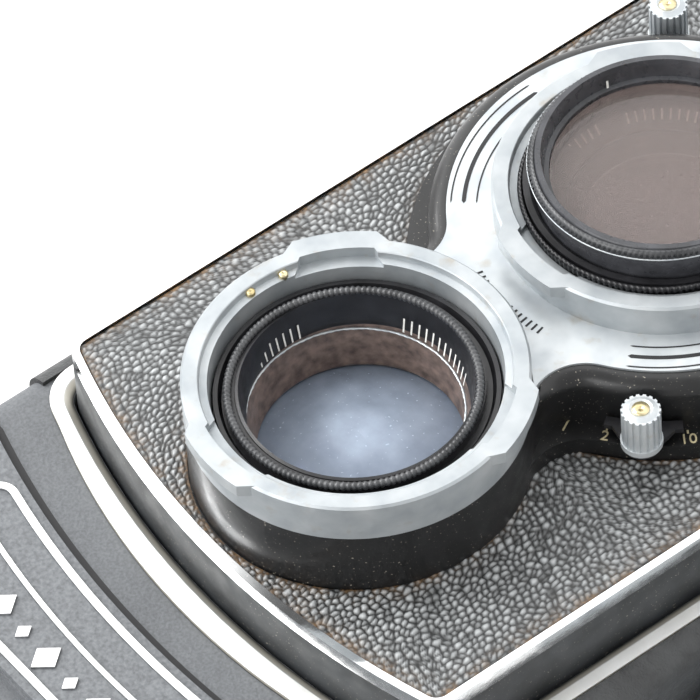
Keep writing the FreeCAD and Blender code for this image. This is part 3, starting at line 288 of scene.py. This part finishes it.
def grained_leatherette(name, relief_mm=0.12):
    """Cloth-backed leatherette pressed with a pebble grain of 1.2 mm: grey sheen on the crowns."""
    material, tree, shader = finish_of(name, {"Specular IOR Level": 0.55})
    place = object_place(tree)
    pebble = add(
        tree,
        "ShaderNodeTexVoronoi",
        {"Vector": place, "Scale": 1.0 / (1.2 * MM), "Smoothness": 0.4},
        feature="SMOOTH_F1",
    )
    fine = varied(tree, place, 0.25, 0.0, 1.0)
    tone = varied(tree, place, 3.0, 0.0, 1.0)
    drive(tree, shader, "Base Color", tinted(tree, tone, "#232425", "#343637"))
    drive(tree, shader, "Roughness", varied(tree, place, 0.6, 0.38, 0.52))
    height = add(
        tree, "ShaderNodeMath", {0: fine, 1: pebble.outputs["Distance"]}, operation="MULTIPLY_ADD"
    )
    height.inputs[1].default_value = 0.25
    tree.links.new(pebble.outputs["Distance"], height.inputs[2])
    bump = add(
        tree,
        "ShaderNodeBump",
        {"Height": height.outputs["Value"], "Strength": 0.7, "Distance": relief_mm * MM},
        invert=True,
    )
    drive(tree, shader, "Normal", bump.outputs["Normal"])
    return material


def leather_with_painted_crown_highlights():
    """Worn leatherette with its pebbles in the mesh: grey crowns over black gaps, partly rubbing and partly
    a painted highlight on the crowns and painted shade in the gaps.

    Brown glue and dust show along the edges, where the mesh attribute "edge" is near 1.
    """
    material, tree, shader = finish_of("leatherette_board_painted_highlights", {"Specular IOR Level": 0.6})
    place = object_place(tree)
    crown = add(tree, "ShaderNodeAttribute", attribute_name="crown").outputs["Fac"]
    edge = add(tree, "ShaderNodeAttribute", attribute_name="edge").outputs["Fac"]
    worn = varied(tree, place, 4.0, 0.75, 1.0)
    # Painted highlight and shade: the crowns are coloured light grey and the gaps near black, partly for
    # rubbing and partly for the light on the crowns and the shade between them.
    lighter_tone_share = add(tree, "ShaderNodeMath", {0: crown, 1: worn}, operation="MULTIPLY").outputs["Value"]
    skin = tinted(tree, lighter_tone_share, "#0d0e0e", "#a9acad")
    crumbs = varied(tree, place, 0.5, 0.0, 1.0, 5.0)
    dirt = tinted(tree, crumbs, "#1f1b17", "#8a6a45")
    patch = varied(tree, place, 1.6, -0.25, 1.15)
    share = add(tree, "ShaderNodeMath", {0: edge, 1: patch}, operation="MULTIPLY", use_clamp=True)
    mixed = add(tree, "ShaderNodeMix", {0: share.outputs["Value"], 6: skin, 7: dirt}, data_type="RGBA")
    drive(tree, shader, "Base Color", mixed.outputs[2])
    drive(tree, shader, "Roughness", varied(tree, place, 0.5, 0.28, 0.45))
    pores = varied(tree, place, 0.2, 0.0, 1.0, 4.0)
    bump = add(tree, "ShaderNodeBump", {"Height": pores, "Strength": 0.55, "Distance": 0.04 * MM})
    drive(tree, shader, "Normal", bump.outputs["Normal"])
    return material


def wrinkle_enamel():
    """Baked wrinkle enamel: a dusty grey skin with fine folds of about 0.3 mm."""
    material, tree, shader = finish_of("wrinkle_enamel", {"Specular IOR Level": 0.5})
    place = object_place(tree)
    folds = varied(tree, place, 0.32, 0.0, 1.0, 4.0)
    cloud = varied(tree, place, 9.0, 0.0, 0.2)
    tone = add(tree, "ShaderNodeMath", {0: folds, 1: 0.45}, operation="MULTIPLY").outputs["Value"]
    tone = add(tree, "ShaderNodeMath", {0: tone, 1: cloud}, operation="ADD").outputs["Value"]
    drive(tree, shader, "Base Color", tinted(tree, tone, "#4e5053", "#74777a"))
    drive(tree, shader, "Roughness", varied(tree, place, 0.8, 0.55, 0.7))
    bump = add(tree, "ShaderNodeBump", {"Height": folds, "Strength": 0.5, "Distance": 0.05 * MM})
    drive(tree, shader, "Normal", bump.outputs["Normal"])
    return material


def dust(tree, place, share):
    """How much dust lies on a place: sparse specks of about 0.2 mm, from 0 to the share given."""
    specks = varied(tree, place, 0.22, 0.0, share, 0.0, 0.76, 0.84)
    patch = varied(tree, place, 7.0, 0.0, 1.0)
    return add(tree, "ShaderNodeMath", {0: specks, 1: patch}, operation="MULTIPLY").outputs["Value"]


def dusty(tree, place, paint, share):
    """A paint's colour with pale dust specks laid over it."""
    mixed = add(tree, "ShaderNodeMix", {0: dust(tree, place, share), 6: paint}, data_type="RGBA")
    mixed.inputs[7].default_value = colour("#b9b2a4")
    return mixed.outputs[2]


def stoved_lacquer(name, dark, light, rough_low, rough_high, coat):
    """Stoved black lacquer: a slightly uneven skin with rubbed haze and dust on it."""
    material, tree, shader = finish_of(name, {"Coat Weight": coat, "Coat Roughness": 0.08})
    place = object_place(tree)
    lighter_tone_share = varied(tree, place, 5.0, 0.0, 1.0)
    drive(tree, shader, "Base Color", dusty(tree, place, tinted(tree, lighter_tone_share, dark, light), 0.8))
    drive(tree, shader, "Roughness", varied(tree, place, 2.0, rough_low, rough_high))
    bump = add(tree, "ShaderNodeBump", {"Height": lighter_tone_share, "Strength": 0.12, "Distance": 0.1 * MM})
    drive(tree, shader, "Normal", bump.outputs["Normal"])
    return material


def metal(name, dark, light, rough_low, rough_high, grain_mm, relief_mm):
    """A bare or plated metal: colour and roughness drift a little, with a fine surface grain."""
    material, tree, shader = finish_of(name, {"Metallic": 1.0})
    place = object_place(tree)
    drift = varied(tree, place, 6.0, 0.0, 1.0)
    drive(tree, shader, "Base Color", tinted(tree, drift, dark, light))
    drive(tree, shader, "Roughness", varied(tree, place, 1.5, rough_low, rough_high))
    grain = varied(tree, place, grain_mm, 0.0, 1.0)
    bump = add(tree, "ShaderNodeBump", {"Height": grain, "Strength": 0.25, "Distance": relief_mm * MM})
    drive(tree, shader, "Normal", bump.outputs["Normal"])
    return material


def worn_aluminium(name, dark, light, stain, rough_low, rough_high):
    """Old satin anodised aluminium: pale, clouded with a cooler tint, and browned in small patches.

    It is half way between metal and white oxide, so it stays light where it faces a dark hollow.
    """
    material, tree, shader = finish_of(name, {"Metallic": 0.55, "Specular IOR Level": 0.6})
    place = object_place(tree)
    cloud = varied(tree, place, 5.0, 0.0, 1.0)
    fleck = varied(tree, place, 2.2, 0.0, 0.4, 6.0, 0.62, 0.8)
    mixed = add(tree, "ShaderNodeMix", {0: fleck, 6: tinted(tree, cloud, dark, light)}, data_type="RGBA")
    mixed.inputs[7].default_value = colour(stain)
    drive(tree, shader, "Base Color", mixed.outputs[2])
    drive(tree, shader, "Roughness", varied(tree, place, 1.2, rough_low, rough_high))
    grain = varied(tree, place, 0.12, 0.0, 1.0)
    bump = add(tree, "ShaderNodeBump", {"Height": grain, "Strength": 0.2, "Distance": 0.012 * MM})
    drive(tree, shader, "Normal", bump.outputs["Normal"])
    return material


def black_coat(name, dark, light, rough_low, rough_high):
    """Black anodising or matt paint on metal: dull, with a greyish bloom where it is handled."""
    material, tree, shader = finish_of(name, {"Specular IOR Level": 0.5})
    place = object_place(tree)
    bloom = varied(tree, place, 3.0, 0.0, 1.0)
    drive(tree, shader, "Base Color", tinted(tree, bloom, dark, light))
    drive(tree, shader, "Roughness", varied(tree, place, 1.0, rough_low, rough_high))
    grain = varied(tree, place, 0.15, 0.0, 1.0)
    bump = add(tree, "ShaderNodeBump", {"Height": grain, "Strength": 0.2, "Distance": 0.02 * MM})
    drive(tree, shader, "Normal", bump.outputs["Normal"])
    return material


def coated_glass(name, tint, film_nm, haze, haze_low, haze_high, centre, reach_mm):
    """Optical glass with one coating layer, and a film of haze and dust thickest at its middle."""
    inputs = {
        "Transmission Weight": 1.0,
        "IOR": 1.55,
        "Roughness": 0.02,
        "Thin Film Thickness": film_nm,
        "Thin Film IOR": 1.38,
        "Base Color": colour(tint),
    }
    material, tree, shader = finish_of(name, inputs)
    place = object_place(tree)
    centred = add(tree, "ShaderNodeMapping", {"Vector": place, "Location": [-c for c in centre]})
    onto_face = {0: centred.outputs["Vector"], 1: (1, 0, 1)}
    flat = add(tree, "ShaderNodeVectorMath", onto_face, operation="MULTIPLY")
    length = add(tree, "ShaderNodeVectorMath", {0: flat.outputs["Vector"]}, operation="LENGTH")
    fall = {"Value": length.outputs["Value"], "From Max": reach_mm * MM}
    fall |= {"To Min": haze_high, "To Max": haze_low}
    spread = add(tree, "ShaderNodeMapRange", fall, interpolation_type="SMOOTHSTEP")
    cloud = varied(tree, place, 4.0, 0.75, 1.15, 5.0)
    amount = add(tree, "ShaderNodeMath", {0: spread.outputs["Result"], 1: cloud}, operation="MULTIPLY")
    speck = varied(tree, place, 0.3, 0.0, 0.5, 0.0, 0.78, 0.86)
    sums = {0: amount.outputs["Value"], 1: speck}
    total = add(tree, "ShaderNodeMath", sums, operation="ADD", use_clamp=True)
    film = add(tree, "ShaderNodeBsdfPrincipled", {"Base Color": colour(haze), "Roughness": 0.6})
    mixed = add(
        tree,
        "ShaderNodeMixShader",
        {0: total.outputs["Value"], 1: shader.outputs["BSDF"], 2: film.outputs["BSDF"]},
    )
    output = next(n for n in tree.nodes if n.bl_idname == "ShaderNodeOutputMaterial")
    tree.links.new(mixed.outputs["Shader"], output.inputs["Surface"])
    return material


def clear_plastic(name, tint, rough):
    """A small window or ground screen: light goes through, softened by its surface."""
    inputs = {"Transmission Weight": 0.9, "IOR": 1.49, "Base Color": colour(tint)}
    material, tree, shader = finish_of(name, inputs)
    place = object_place(tree)
    drive(tree, shader, "Roughness", varied(tree, place, 0.5, rough, rough + 0.08))
    return material


def engraver_paint(name, code):
    """Paint rubbed into an engraved line: matt, and slightly uneven where it has worn."""
    material, tree, shader = finish_of(name, {"Roughness": 0.6})
    worn = varied(tree, object_place(tree), 0.4, 0.0, 1.0)
    r, g, b, _ = colour(code)
    ramp = add(tree, "ShaderNodeValToRGB", {"Fac": worn})
    ramp.color_ramp.elements[0].color = (r * 0.72, g * 0.72, b * 0.72, 1.0)
    ramp.color_ramp.elements[1].color = (r, g, b, 1.0)
    drive(tree, shader, "Base Color", ramp.outputs["Color"])
    return material


def depth_share(tree, place, start_mm, end_mm):
    """0 to 1 as a place's depth behind the ring faces goes from start to end."""
    split = add(tree, "ShaderNodeSeparateXYZ", {"Vector": place})
    spread = {"Value": split.outputs["Y"], "From Min": behind(start_mm), "From Max": behind(end_mm)}
    return add(tree, "ShaderNodeMapRange", spread).outputs["Result"]


def raised_silver_on_enamel():
    """The nameplate: bright turned tops on every raised line and stud, wrinkle enamel below."""
    material, tree, shader = finish_of("nameplate_enamel_and_silver", {"Specular IOR Level": 0.5})
    place = object_place(tree)
    folds = varied(tree, place, 0.45, 0.0, 1.0, 5.0)
    low = depth_share(tree, place, NAMEPLATE_TOP_MM + 0.08, NAMEPLATE_TOP_MM + 0.14)
    metal_tone = tinted(tree, varied(tree, place, 1.5, 0.0, 1.0), "#c9cacb", "#f4f4f2")
    paint_tone = tinted(tree, folds, "#515356", "#6d7073")
    mixed = add(tree, "ShaderNodeMix", {0: low, 6: metal_tone, 7: paint_tone}, data_type="RGBA")
    drive(tree, shader, "Base Color", mixed.outputs[2])
    metallic = add(tree, "ShaderNodeMapRange", {"Value": low, "To Min": 0.7, "To Max": 0.0})
    drive(tree, shader, "Metallic", metallic.outputs["Result"])
    drive(tree, shader, "Roughness", varied(tree, place, 0.8, 0.42, 0.6))
    bump = add(tree, "ShaderNodeBump", {"Height": folds, "Strength": 0.5, "Distance": 0.05 * MM})
    drive(tree, shader, "Normal", bump.outputs["Normal"])
    return material


def cone_with_painted_reflection():
    """The viewing cell's inside: black at its mouth, then a painted brown reflection on the cone down to the
    glass.
    """
    material, tree, shader = finish_of("black_cone_painted_brown_reflection", {"Specular IOR Level": 0.5})
    place = object_place(tree)
    # Painted reflection: below the cone's depth the black turns brown, standing for the lens rim mirrored in
    # it.
    low = depth_share(tree, place, CONE_MM - 0.05, CONE_MM + 0.05)
    black = tinted(tree, varied(tree, place, 3.0, 0.0, 1.0), "#101012", "#222225")
    brown = tinted(tree, varied(tree, place, 1.2, 0.0, 1.0, 5.0), "#4b403b", "#85736a")
    mixed = add(tree, "ShaderNodeMix", {0: low, 6: black, 7: brown}, data_type="RGBA")
    drive(tree, shader, "Base Color", mixed.outputs[2])
    drive(tree, shader, "Roughness", varied(tree, place, 1.0, 0.28, 0.42))
    grain = varied(tree, place, 0.15, 0.0, 1.0)
    bump = add(tree, "ShaderNodeBump", {"Height": grain, "Strength": 0.2, "Distance": 0.02 * MM})
    drive(tree, shader, "Normal", bump.outputs["Normal"])
    return material


def chrome_with_painted_cove_reflection():
    """The frame round the board: white satin chrome on its lip, with a painted reflection down the cove,
    creamy and then dark where it stands for the dark board side mirrored there.
    """
    material, tree, shader = finish_of("satin_chrome_painted_cove_reflection", {"Specular IOR Level": 0.6})
    place = object_place(tree)
    # Painted reflection: the colour turns from white to cream to dark with depth down the cove.
    low = depth_share(tree, place, FRAME_TOP_MM + 0.03, FRAME_TOP_MM + 0.62)
    ramp = add(tree, "ShaderNodeValToRGB", {"Fac": low})
    ramp.color_ramp.elements[0].color = colour("#f2f3f2")
    ramp.color_ramp.elements[1].color = colour("#3b3a38")
    ramp.color_ramp.elements.new(0.12).color = colour("#dcd9d0")
    ramp.color_ramp.elements.new(0.55).color = colour("#c4c0b4")
    cloud = varied(tree, place, 3.0, 0.0, 0.35)
    inputs = {0: cloud, 6: ramp.outputs["Color"]}
    mixed = add(tree, "ShaderNodeMix", inputs, data_type="RGBA", blend_type="MULTIPLY")
    mixed.inputs[7].default_value = colour("#d2cfc6")
    drive(tree, shader, "Base Color", mixed.outputs[2])
    drive(tree, shader, "Roughness", varied(tree, place, 1.5, 0.3, 0.44))
    shader.inputs["Metallic"].default_value = 0.6
    grain = varied(tree, place, 0.15, 0.0, 1.0)
    bump = add(tree, "ShaderNodeBump", {"Height": grain, "Strength": 0.2, "Distance": 0.01 * MM})
    drive(tree, shader, "Normal", bump.outputs["Normal"])
    return material


# Each finish by the slot it belongs to, or by a short name of its own.
FINISH = {
    "crackle_black": wrinkle_enamel(),
    "gloss_black": stoved_lacquer("stoved_lacquer", "#08090a", "#141415", 0.3, 0.42, 0.15),
    "wall": stoved_lacquer("satin_black_wall", "#222426", "#34373a", 0.42, 0.56, 0.0),
    "nameplate": raised_silver_on_enamel(),
    "frame": chrome_with_painted_cove_reflection(),
    "cone": cone_with_painted_reflection(),
    "leatherette": grained_leatherette("leatherette_skin"),
    "satin_silver": worn_aluminium("satin_anodised_aluminium", "#a6acb1", "#c8cccd", "#97835f", 0.36, 0.5),
    # Painted shade: the bayonet rings take a darker copy of the satin aluminium, so that their brightly lit
    # faces come out darker.
    "ring": worn_aluminium("satin_ring_aluminium_painted_shade", "#949a9e", "#b1b5b7", "#8f7c5b", 0.36, 0.5),
    "filter": black_coat("rubbed_filter_black", "#2a2b2e", "#414246", 0.24, 0.36),
    "blades": metal("dark_blade_steel", "#3c3b3d", "#57565a", 0.4, 0.55, 0.3, 0.01),
    "bright_chrome": metal("polished_chrome", "#dfe1e2", "#f6f7f7", 0.06, 0.16, 0.4, 0.006),
    "anodised_black": black_coat("black_anodising", "#101012", "#232326", 0.3, 0.45),
    "matt_black": black_coat("matt_inner_paint", "#0d0d0d", "#191919", 0.7, 0.85),
    "steel": metal("ground_steel", "#9b9da0", "#c6c8ca", 0.22, 0.36, 0.1, 0.01),
    "ground_glass": clear_plastic("ground_screen", "#eef1f0", 0.55),
    "filter_glass": clear_plastic("filter_sheet", "#d2c2bd", 0.0),
    "mirror_silver": metal("front_silvering", "#e8eaec", "#f7f8f9", 0.0, 0.03, 1.0, 0.001),
    "guide_plate": metal("etched_guide_plate", "#c2c0b8", "#dcdad2", 0.34, 0.46, 0.15, 0.01),
    "viewing": coated_glass("viewing_lens_glass", "#d6dfee", 115.0, "#a5b2c4", 0.55, 0.78, VIEWING, 7.0),
    "taking": coated_glass("taking_lens_glass", "#7f6d78", 105.0, "#6d6064", 0.2, 0.34, TAKING, 11.5),
    "window": clear_plastic("clear_window", "#f4f6f6", 0.02),
}
# Castings take the same paints as sheet, and the small lenses look like the clear window.
for alias, kept in (
    ("lens_glass", "window"),
    ("crackle_cast", "crackle_black"),
    ("gloss_cast", "gloss_black"),
    ("matt_cast", "matt_black"),
):
    FINISH[alias] = FINISH[kept]
WHITE_PAINT = engraver_paint("white_engraver_paint", "#e9e9e4")
BLACK_PAINT = engraver_paint("black_engraver_paint", "#17171a")
CREAM_PAINT = engraver_paint("cream_engraver_paint", "#b8ae8c")
BRASS = metal("worn_turned_brass", "#b7a36b", "#e6ddbd", 0.28, 0.42, 0.2, 0.01)
OWN_FINISH = {
    "viewing_glass": "viewing",
    "viewing_bayonet": "ring",
    "taking_bayonet": "ring",
    "viewing_cell": "cone",
    "viewing_name_ring": "cone",
    "shutter_blades": "blades",
    "filter_rim": "filter",
    "taking_glass": "taking",
    "lens_standard": "wall",
    "nameplate": "nameplate",
    "trim_frame": "frame",
}


def finish_nodes():
    """Gives each node the finish of its slot in the record, or its own."""
    for part in frame["record"]["subparts"]:
        node = frame["nodes"][part["node"]]
        node.data.materials.clear()
        node.data.materials.append(FINISH[OWN_FINISH.get(part["node"], part["material_slot"])])


# --- lens board leather ------------------------------------------------------------------------
def ray_to_circle(directions, start, centre, radius):
    """How far a ray from inside a circle runs until it meets the circle."""
    offset = start - centre
    along = directions @ offset
    return -along + np.sqrt(along**2 - offset @ offset + radius**2)


def pebbles(x, z, pitch):
    """Pebble height from 0 to 1: how much nearer one scattered seed is than the next.

    Each square of the pitch holds one seed at a place hashed from its column and row.
    """
    column = np.floor(x / pitch)
    row = np.floor(z / pitch)
    first = np.full(x.shape, 9.0)
    second = np.full(x.shape, 9.0)
    for i in (-1, 0, 1):
        for j in (-1, 0, 1):
            c = column + i
            r = row + j
            shift_x = np.modf(np.abs(np.sin(c * 127.1 + r * 311.7) * 43758.5453))[0]
            shift_z = np.modf(np.abs(np.sin(c * 269.5 + r * 183.3) * 28001.8384))[0]
            away = np.hypot(c + 0.1 + 0.8 * shift_x - x / pitch, r + 0.1 + 0.8 * shift_z - z / pitch)
            second = np.minimum(second, np.maximum(first, away))
            first = np.minimum(first, away)
    rise = np.clip((second - first) / 0.8, 0.0, 1.0)
    return rise * rise * (3.0 - 2.0 * rise)


def board_skin():
    """Leather of the lens board: it fills between the lens mount and the board's edge.

    A ray from the middle of the mount's neck meets the larger of two circles about the lens axes,
    and then the nearest of the board's sides, foot and arched top. The face is raised by pebbles.
    """
    around = 1280
    across = 76
    centre = np.array([0.0, TAKING[2] + 25.0 * MM])
    angle = np.linspace(0.0, TAU, around, endpoint=False)
    rays = np.stack([np.cos(angle), np.sin(angle)], axis=-1)
    inner = np.maximum(
        ray_to_circle(rays, centre, np.array([0.0, TAKING[2]]), MOUNT_TAKING_MM * MM),
        ray_to_circle(rays, centre, np.array([0.0, VIEWING[2]]), MOUNT_VIEWING_MM * MM),
    )
    half = BOARD_HIGH[0]
    with np.errstate(divide="ignore"):
        side = half / np.abs(rays[:, 0])
        foot = np.where(rays[:, 1] < 0, (BOARD_LOW[2] - centre[1]) / rays[:, 1], np.inf)
    arch_radius = BOARD_ARCH_MM * MM
    arch_centre = np.array([0.0, BOARD_HIGH[2] - arch_radius])
    outer = np.minimum(np.minimum(side, foot), ray_to_circle(rays, centre, arch_centre, arch_radius))
    share = np.linspace(0.0, 1.0, across)[None, :]
    reach = inner[:, None] + (outer - inner)[:, None] * share
    x = centre[0] + reach * rays[:, :1]
    z = centre[1] + reach * rays[:, 1:]
    margin = np.minimum(reach - inner[:, None], outer[:, None] - reach)
    edge = np.clip(margin / (0.5 * MM), 0.0, 1.0)
    crown = pebbles(x, z * 0.8 + x * 0.25, PEBBLE_MM * MM) * edge
    y = BOARD_LOW[1] + PEBBLE_DEPTH_MM * MM * (1.0 - crown)
    face = np.stack([x, y, z], axis=-1)
    back = face[:, ::-1][:, [0, -1]].copy()
    back[..., 1] = BOARD_HIGH[1]
    points, faces = closed_grid(np.concatenate([face, back], axis=1))
    skin = mesh_piece("board_leather_skin", points, faces, leather_with_painted_crown_highlights(), "lens_standard")
    paint_points(skin, "crown", np.concatenate([crown, np.zeros((around, 2))], axis=1))
    paint_points(skin, "edge", np.concatenate([np.exp(-margin / (0.9 * MM)), np.ones((around, 2))], axis=1))
    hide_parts("board_leather")
    return skin


def paint_points(piece, name, values):
    """Stores one number per point of a piece for its material to read."""
    layer = piece.data.attributes.new(name, "FLOAT", "POINT")
    layer.data.foreach_set("value", np.asarray(values, dtype=np.float32).ravel())


# --- rings, lines and marks --------------------------------------------------------------------
OUTER_EDGE = np.array([0, 0, 1, 1])
TEETH = 150


def even(angle, place):
    """No swell: a section keeps its radius all the way round."""
    return 0.0 * angle * place


def filter_teeth(angle, place):
    """Teeth across the filter's bevel: its two outer edges swell in step."""
    return 0.15 * OUTER_EDGE[place] * np.sin(angle * TEETH) * np.sign(place - 2.5)


def cell_teeth(angle, place):
    """Fine teeth on the outer edge of the taking cell."""
    return 0.09 * OUTER_EDGE[place] * np.cos(angle * TEETH)


def chips(angle, place):
    """Small uneven chips along a worn edge."""
    return 0.05 * np.sin(angle * 57 + place) * np.sin(angle * 31)


def grips():
    """Beads and knurls of the lens cells and the filter, with the filter's worn line and index.

    Each section is (radius, depth) in millimetres about its lens axis.
    """
    ribs = black_coat("rubbed_black_ribs", "#2c2d2f", "#4a4b4d", 0.26, 0.36)
    black = FINISH["anodised_black"]
    silver = FINISH["satin_silver"]
    beaded_ring("viewing_cell_beads", VIEWING, 13.42, 2.15, 0.5, 144, ribs, "lens_standard")
    bevel = [(13.6, -4.25), (13.6, -3.6), (14.2, -3.58), (13.85, -4.2)]
    turned_ring("filter_knurl", TAKING, bevel, 1200, filter_teeth, ribs, "filter")
    worn_line = [(14.27, -3.52), (14.27, -3.34), (14.36, -3.36), (14.36, -3.5)]
    turned_ring("filter_worn_line", TAKING, worn_line, 360, even, silver, "filter")
    index = ((12.78, -2.1), (12.9, -3.1))
    radial_marks("filter_index", TAKING, [-12.8], *index, 0.26, WHITE_PAINT, "filter")
    top = CONE_MM - 0.04
    foot = CONE_MM + 0.1
    cone_edge = [(11.6, top), (11.6, foot), (11.83, foot), (11.83, CONE_MM - 0.02)]
    turned_ring("cone_worn_edge", VIEWING, cone_edge, 720, chips, silver, "lens_standard")
    collar = [(15.0, 0.0), (15.0, 1.15), (15.28, 1.1), (15.28, 0.05)]
    turned_ring("taking_cell_knurl", TAKING, collar, 900, cell_teeth, black, "lens_standard")


def arched_painted_shadow():
    """Painted shadow: a black line on the body's front along the nameplate's arched lower edge, standing for
    the shaded wall of the recess the plate sits in.
    """
    width = 1.1
    radius = NAMEPLATE_ARCH_MM - 1.0
    centre = np.array([0.0, 0.0, TAKING[2] + (NAMEPLATE_CROWN_MM - NAMEPLATE_ARCH_MM) * MM])
    depth = (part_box("body_casting")[0][1] - RING_FACE) / MM
    reach = math.degrees(math.asin(NAMEPLATE_HALF_MM / NAMEPLATE_ARCH_MM))
    span = (90 - reach, 90 + reach)
    arc_line("nameplate_shadow_paint_line", centre, radius, width, *span, depth, BLACK_PAINT, "camera_body")


def plate_lines():
    """Black inlaid lines on the face plate: one broad between two fine, on each flank."""
    for side, start, end in (("right", 0.0, 49.0), ("left", 131.0, 180.0)):
        for k, (radius, width) in enumerate(((20.0, 0.16), (21.4, 0.45), (22.8, 0.16))):
            name = f"plate_line_{side}_{k}"
            place = (TAKING, radius, width, start, end, PLATE_INLAY_MM)
            arc_line(name, *place, BLACK_PAINT, "lens_standard")
    ticks = np.linspace(76.0, 104.0, 15)
    stroke = ((21.2, PLATE_INLAY_MM), (22.2, PLATE_INLAY_MM))
    radial_marks("plate_ticks", TAKING, ticks, *stroke, 0.22, BLACK_PAINT, "lens_standard")


def name_ring_marks():
    """Generic white strokes on both name rings, in place of lettering."""
    for name, centre, inner, outer, spans in (
        ("viewing_ring_marks", VIEWING, (11.86, 6.1), (12.25, 4.3), ((-8, 26), (-113, -61))),
        ("taking_ring_marks", TAKING, (11.6, 4.1), (12.5, 3.33), ((-4, 22), (-80, -20))),
    ):
        angles = np.concatenate([np.arange(low, high, 4.5) for low, high in spans])
        radial_marks(name, centre, angles, inner, outer, 0.2, WHITE_PAINT, "lens_standard")


def shutter_scale():
    """Time scale on the black flange beside the speed lever: strokes with numbers."""
    numbers = ("1", "2", "5", "10", "25", "50", "100")
    first = 118.0
    step = 9.5
    angles = [first + step * i for i in range(len(numbers))]
    stroke = ((25.8, FLANGE_INLAY_MM), (26.25, FLANGE_INLAY_MM))
    radial_marks("time_strokes", TAKING, angles, *stroke, 0.22, CREAM_PAINT, "lens_standard")
    for text, angle in zip(numbers, angles):
        place = (TAKING, 27.05, angle, FLANGE_INLAY_MM)
        numeral(f"time_number_{text}", text, *place, 1.9, CREAM_PAINT, "lens_standard")


def ring_pins():
    """Two small brass pins in the ledge inside the viewing ring."""
    reach = 16.5 * MM
    for k, degrees in enumerate((3.7, -11.0)):
        x = VIEWING[0] + reach * math.cos(math.radians(degrees))
        z = VIEWING[2] + reach * math.sin(math.radians(degrees))
        pin = np.array([x, 0.0, z])
        section = [(0.02, 0.3), (0.02, 1.4), (0.55, 1.4), (0.55, 0.5), (0.4, 0.34)]
        turned_ring(f"ring_pin_{k}", pin, section, 24, even, BRASS, "lens_standard")


def lever_caps():
    """Brass cups in the tops of the two lever knobs."""
    for node, body in (("speed_knob", "speed_lever"), ("aperture_knob", "aperture_lever")):
        centre = middle(node)
        depth = (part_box(node)[0][1] - RING_FACE) / MM
        foot = depth + 0.3
        section = [(0.02, depth + 0.12), (0.02, foot), (0.95, foot), (0.95, depth + 0.02)]
        turned_ring(node + "_cup", centre, section, 36, even, BRASS, body)


# --- stage -------------------------------------------------------------------------------------
def studio():
    """A white table under a bright even sky, with one large soft light from the far side."""
    size = 6.0
    floor_mesh = bpy.data.meshes.new("floor")
    drop = -0.0002
    corners = [(x * size, y * size, drop) for x, y in ((-1, -1), (1, -1), (1, 1), (-1, 1))]
    floor_mesh.from_pydata(corners, [], [(0, 1, 2, 3)])
    floor = bpy.data.objects.new("floor", floor_mesh)
    bpy.context.scene.collection.objects.link(floor)
    card, tree, shader = finish_of("white_card", {"Roughness": 0.8})
    shade = varied(tree, object_place(tree), 60.0, 0, 1)
    drive(tree, shader, "Base Color", tinted(tree, shade, "#f2f2f2", "#f7f7f7"))
    floor_mesh.materials.append(card)
    world = bpy.data.worlds.new("bright_sky")
    world.use_nodes = True
    world.node_tree.nodes["Background"].inputs["Color"].default_value = (1.0, 1.0, 1.0, 1.0)
    world.node_tree.nodes["Background"].inputs["Strength"].default_value = 0.82
    bpy.context.scene.world = world
    for name, place, width, watts in (
        ("far_window", (0.75, -0.75, 0.55), 0.9, 20.0),
        ("top_panel", (-0.1, -0.5, 1.2), 1.0, 11.0),
    ):
        lamp = bpy.data.lights.new(name, "AREA")
        lamp.size = width
        lamp.energy = watts
        light = bpy.data.objects.new(name, lamp)
        light.location = place
        aim = Vector((0.0, -0.04, 0.07)) - Vector(place)
        light.rotation_euler = aim.to_track_quat("-Z", "Y").to_euler()
        bpy.context.scene.collection.objects.link(light)
    bpy.context.scene.view_settings.view_transform = "Standard"


CAMERA_AZIMUTH = math.radians(-34.67)
CAMERA_ELEVATION = math.radians(21.22)
CAMERA_ROLL = math.radians(-122.19)
CAMERA_DISTANCE = 826.55 * MM
CAMERA_LENS_MM = 402.02


def camera():
    """A long lens that looks down on the viewing lens from the left, rolled on its axis."""
    a, e, roll = CAMERA_AZIMUTH, CAMERA_ELEVATION, CAMERA_ROLL
    back = Vector((math.sin(a) * math.cos(e), -math.cos(a) * math.cos(e), math.sin(e)))
    right = Vector((0, 0, 1)).cross(back).normalized()
    up = back.cross(right)
    across = math.cos(roll) * right + math.sin(roll) * up
    above = -math.sin(roll) * right + math.cos(roll) * up
    target = Vector((2.72 * MM, RING_FACE, TAKING[2] + 40.15 * MM))
    data = bpy.data.cameras.new("camera")
    data.lens = CAMERA_LENS_MM
    data.sensor_width = 36.0
    data.clip_start = 0.01
    data.clip_end = 30.0
    eye = bpy.data.objects.new("camera", data)
    eye.matrix_world = Matrix.Translation(target + back * CAMERA_DISTANCE) @ Matrix(
        (across, above, back)
    ).transposed().to_4x4()
    bpy.context.scene.collection.objects.link(eye)
    bpy.context.scene.camera = eye


finish_nodes()
board_skin()
grips()
plate_lines()
arched_painted_shadow()
name_ring_marks()
shutter_scale()
ring_pins()
lever_caps()
studio()
camera()
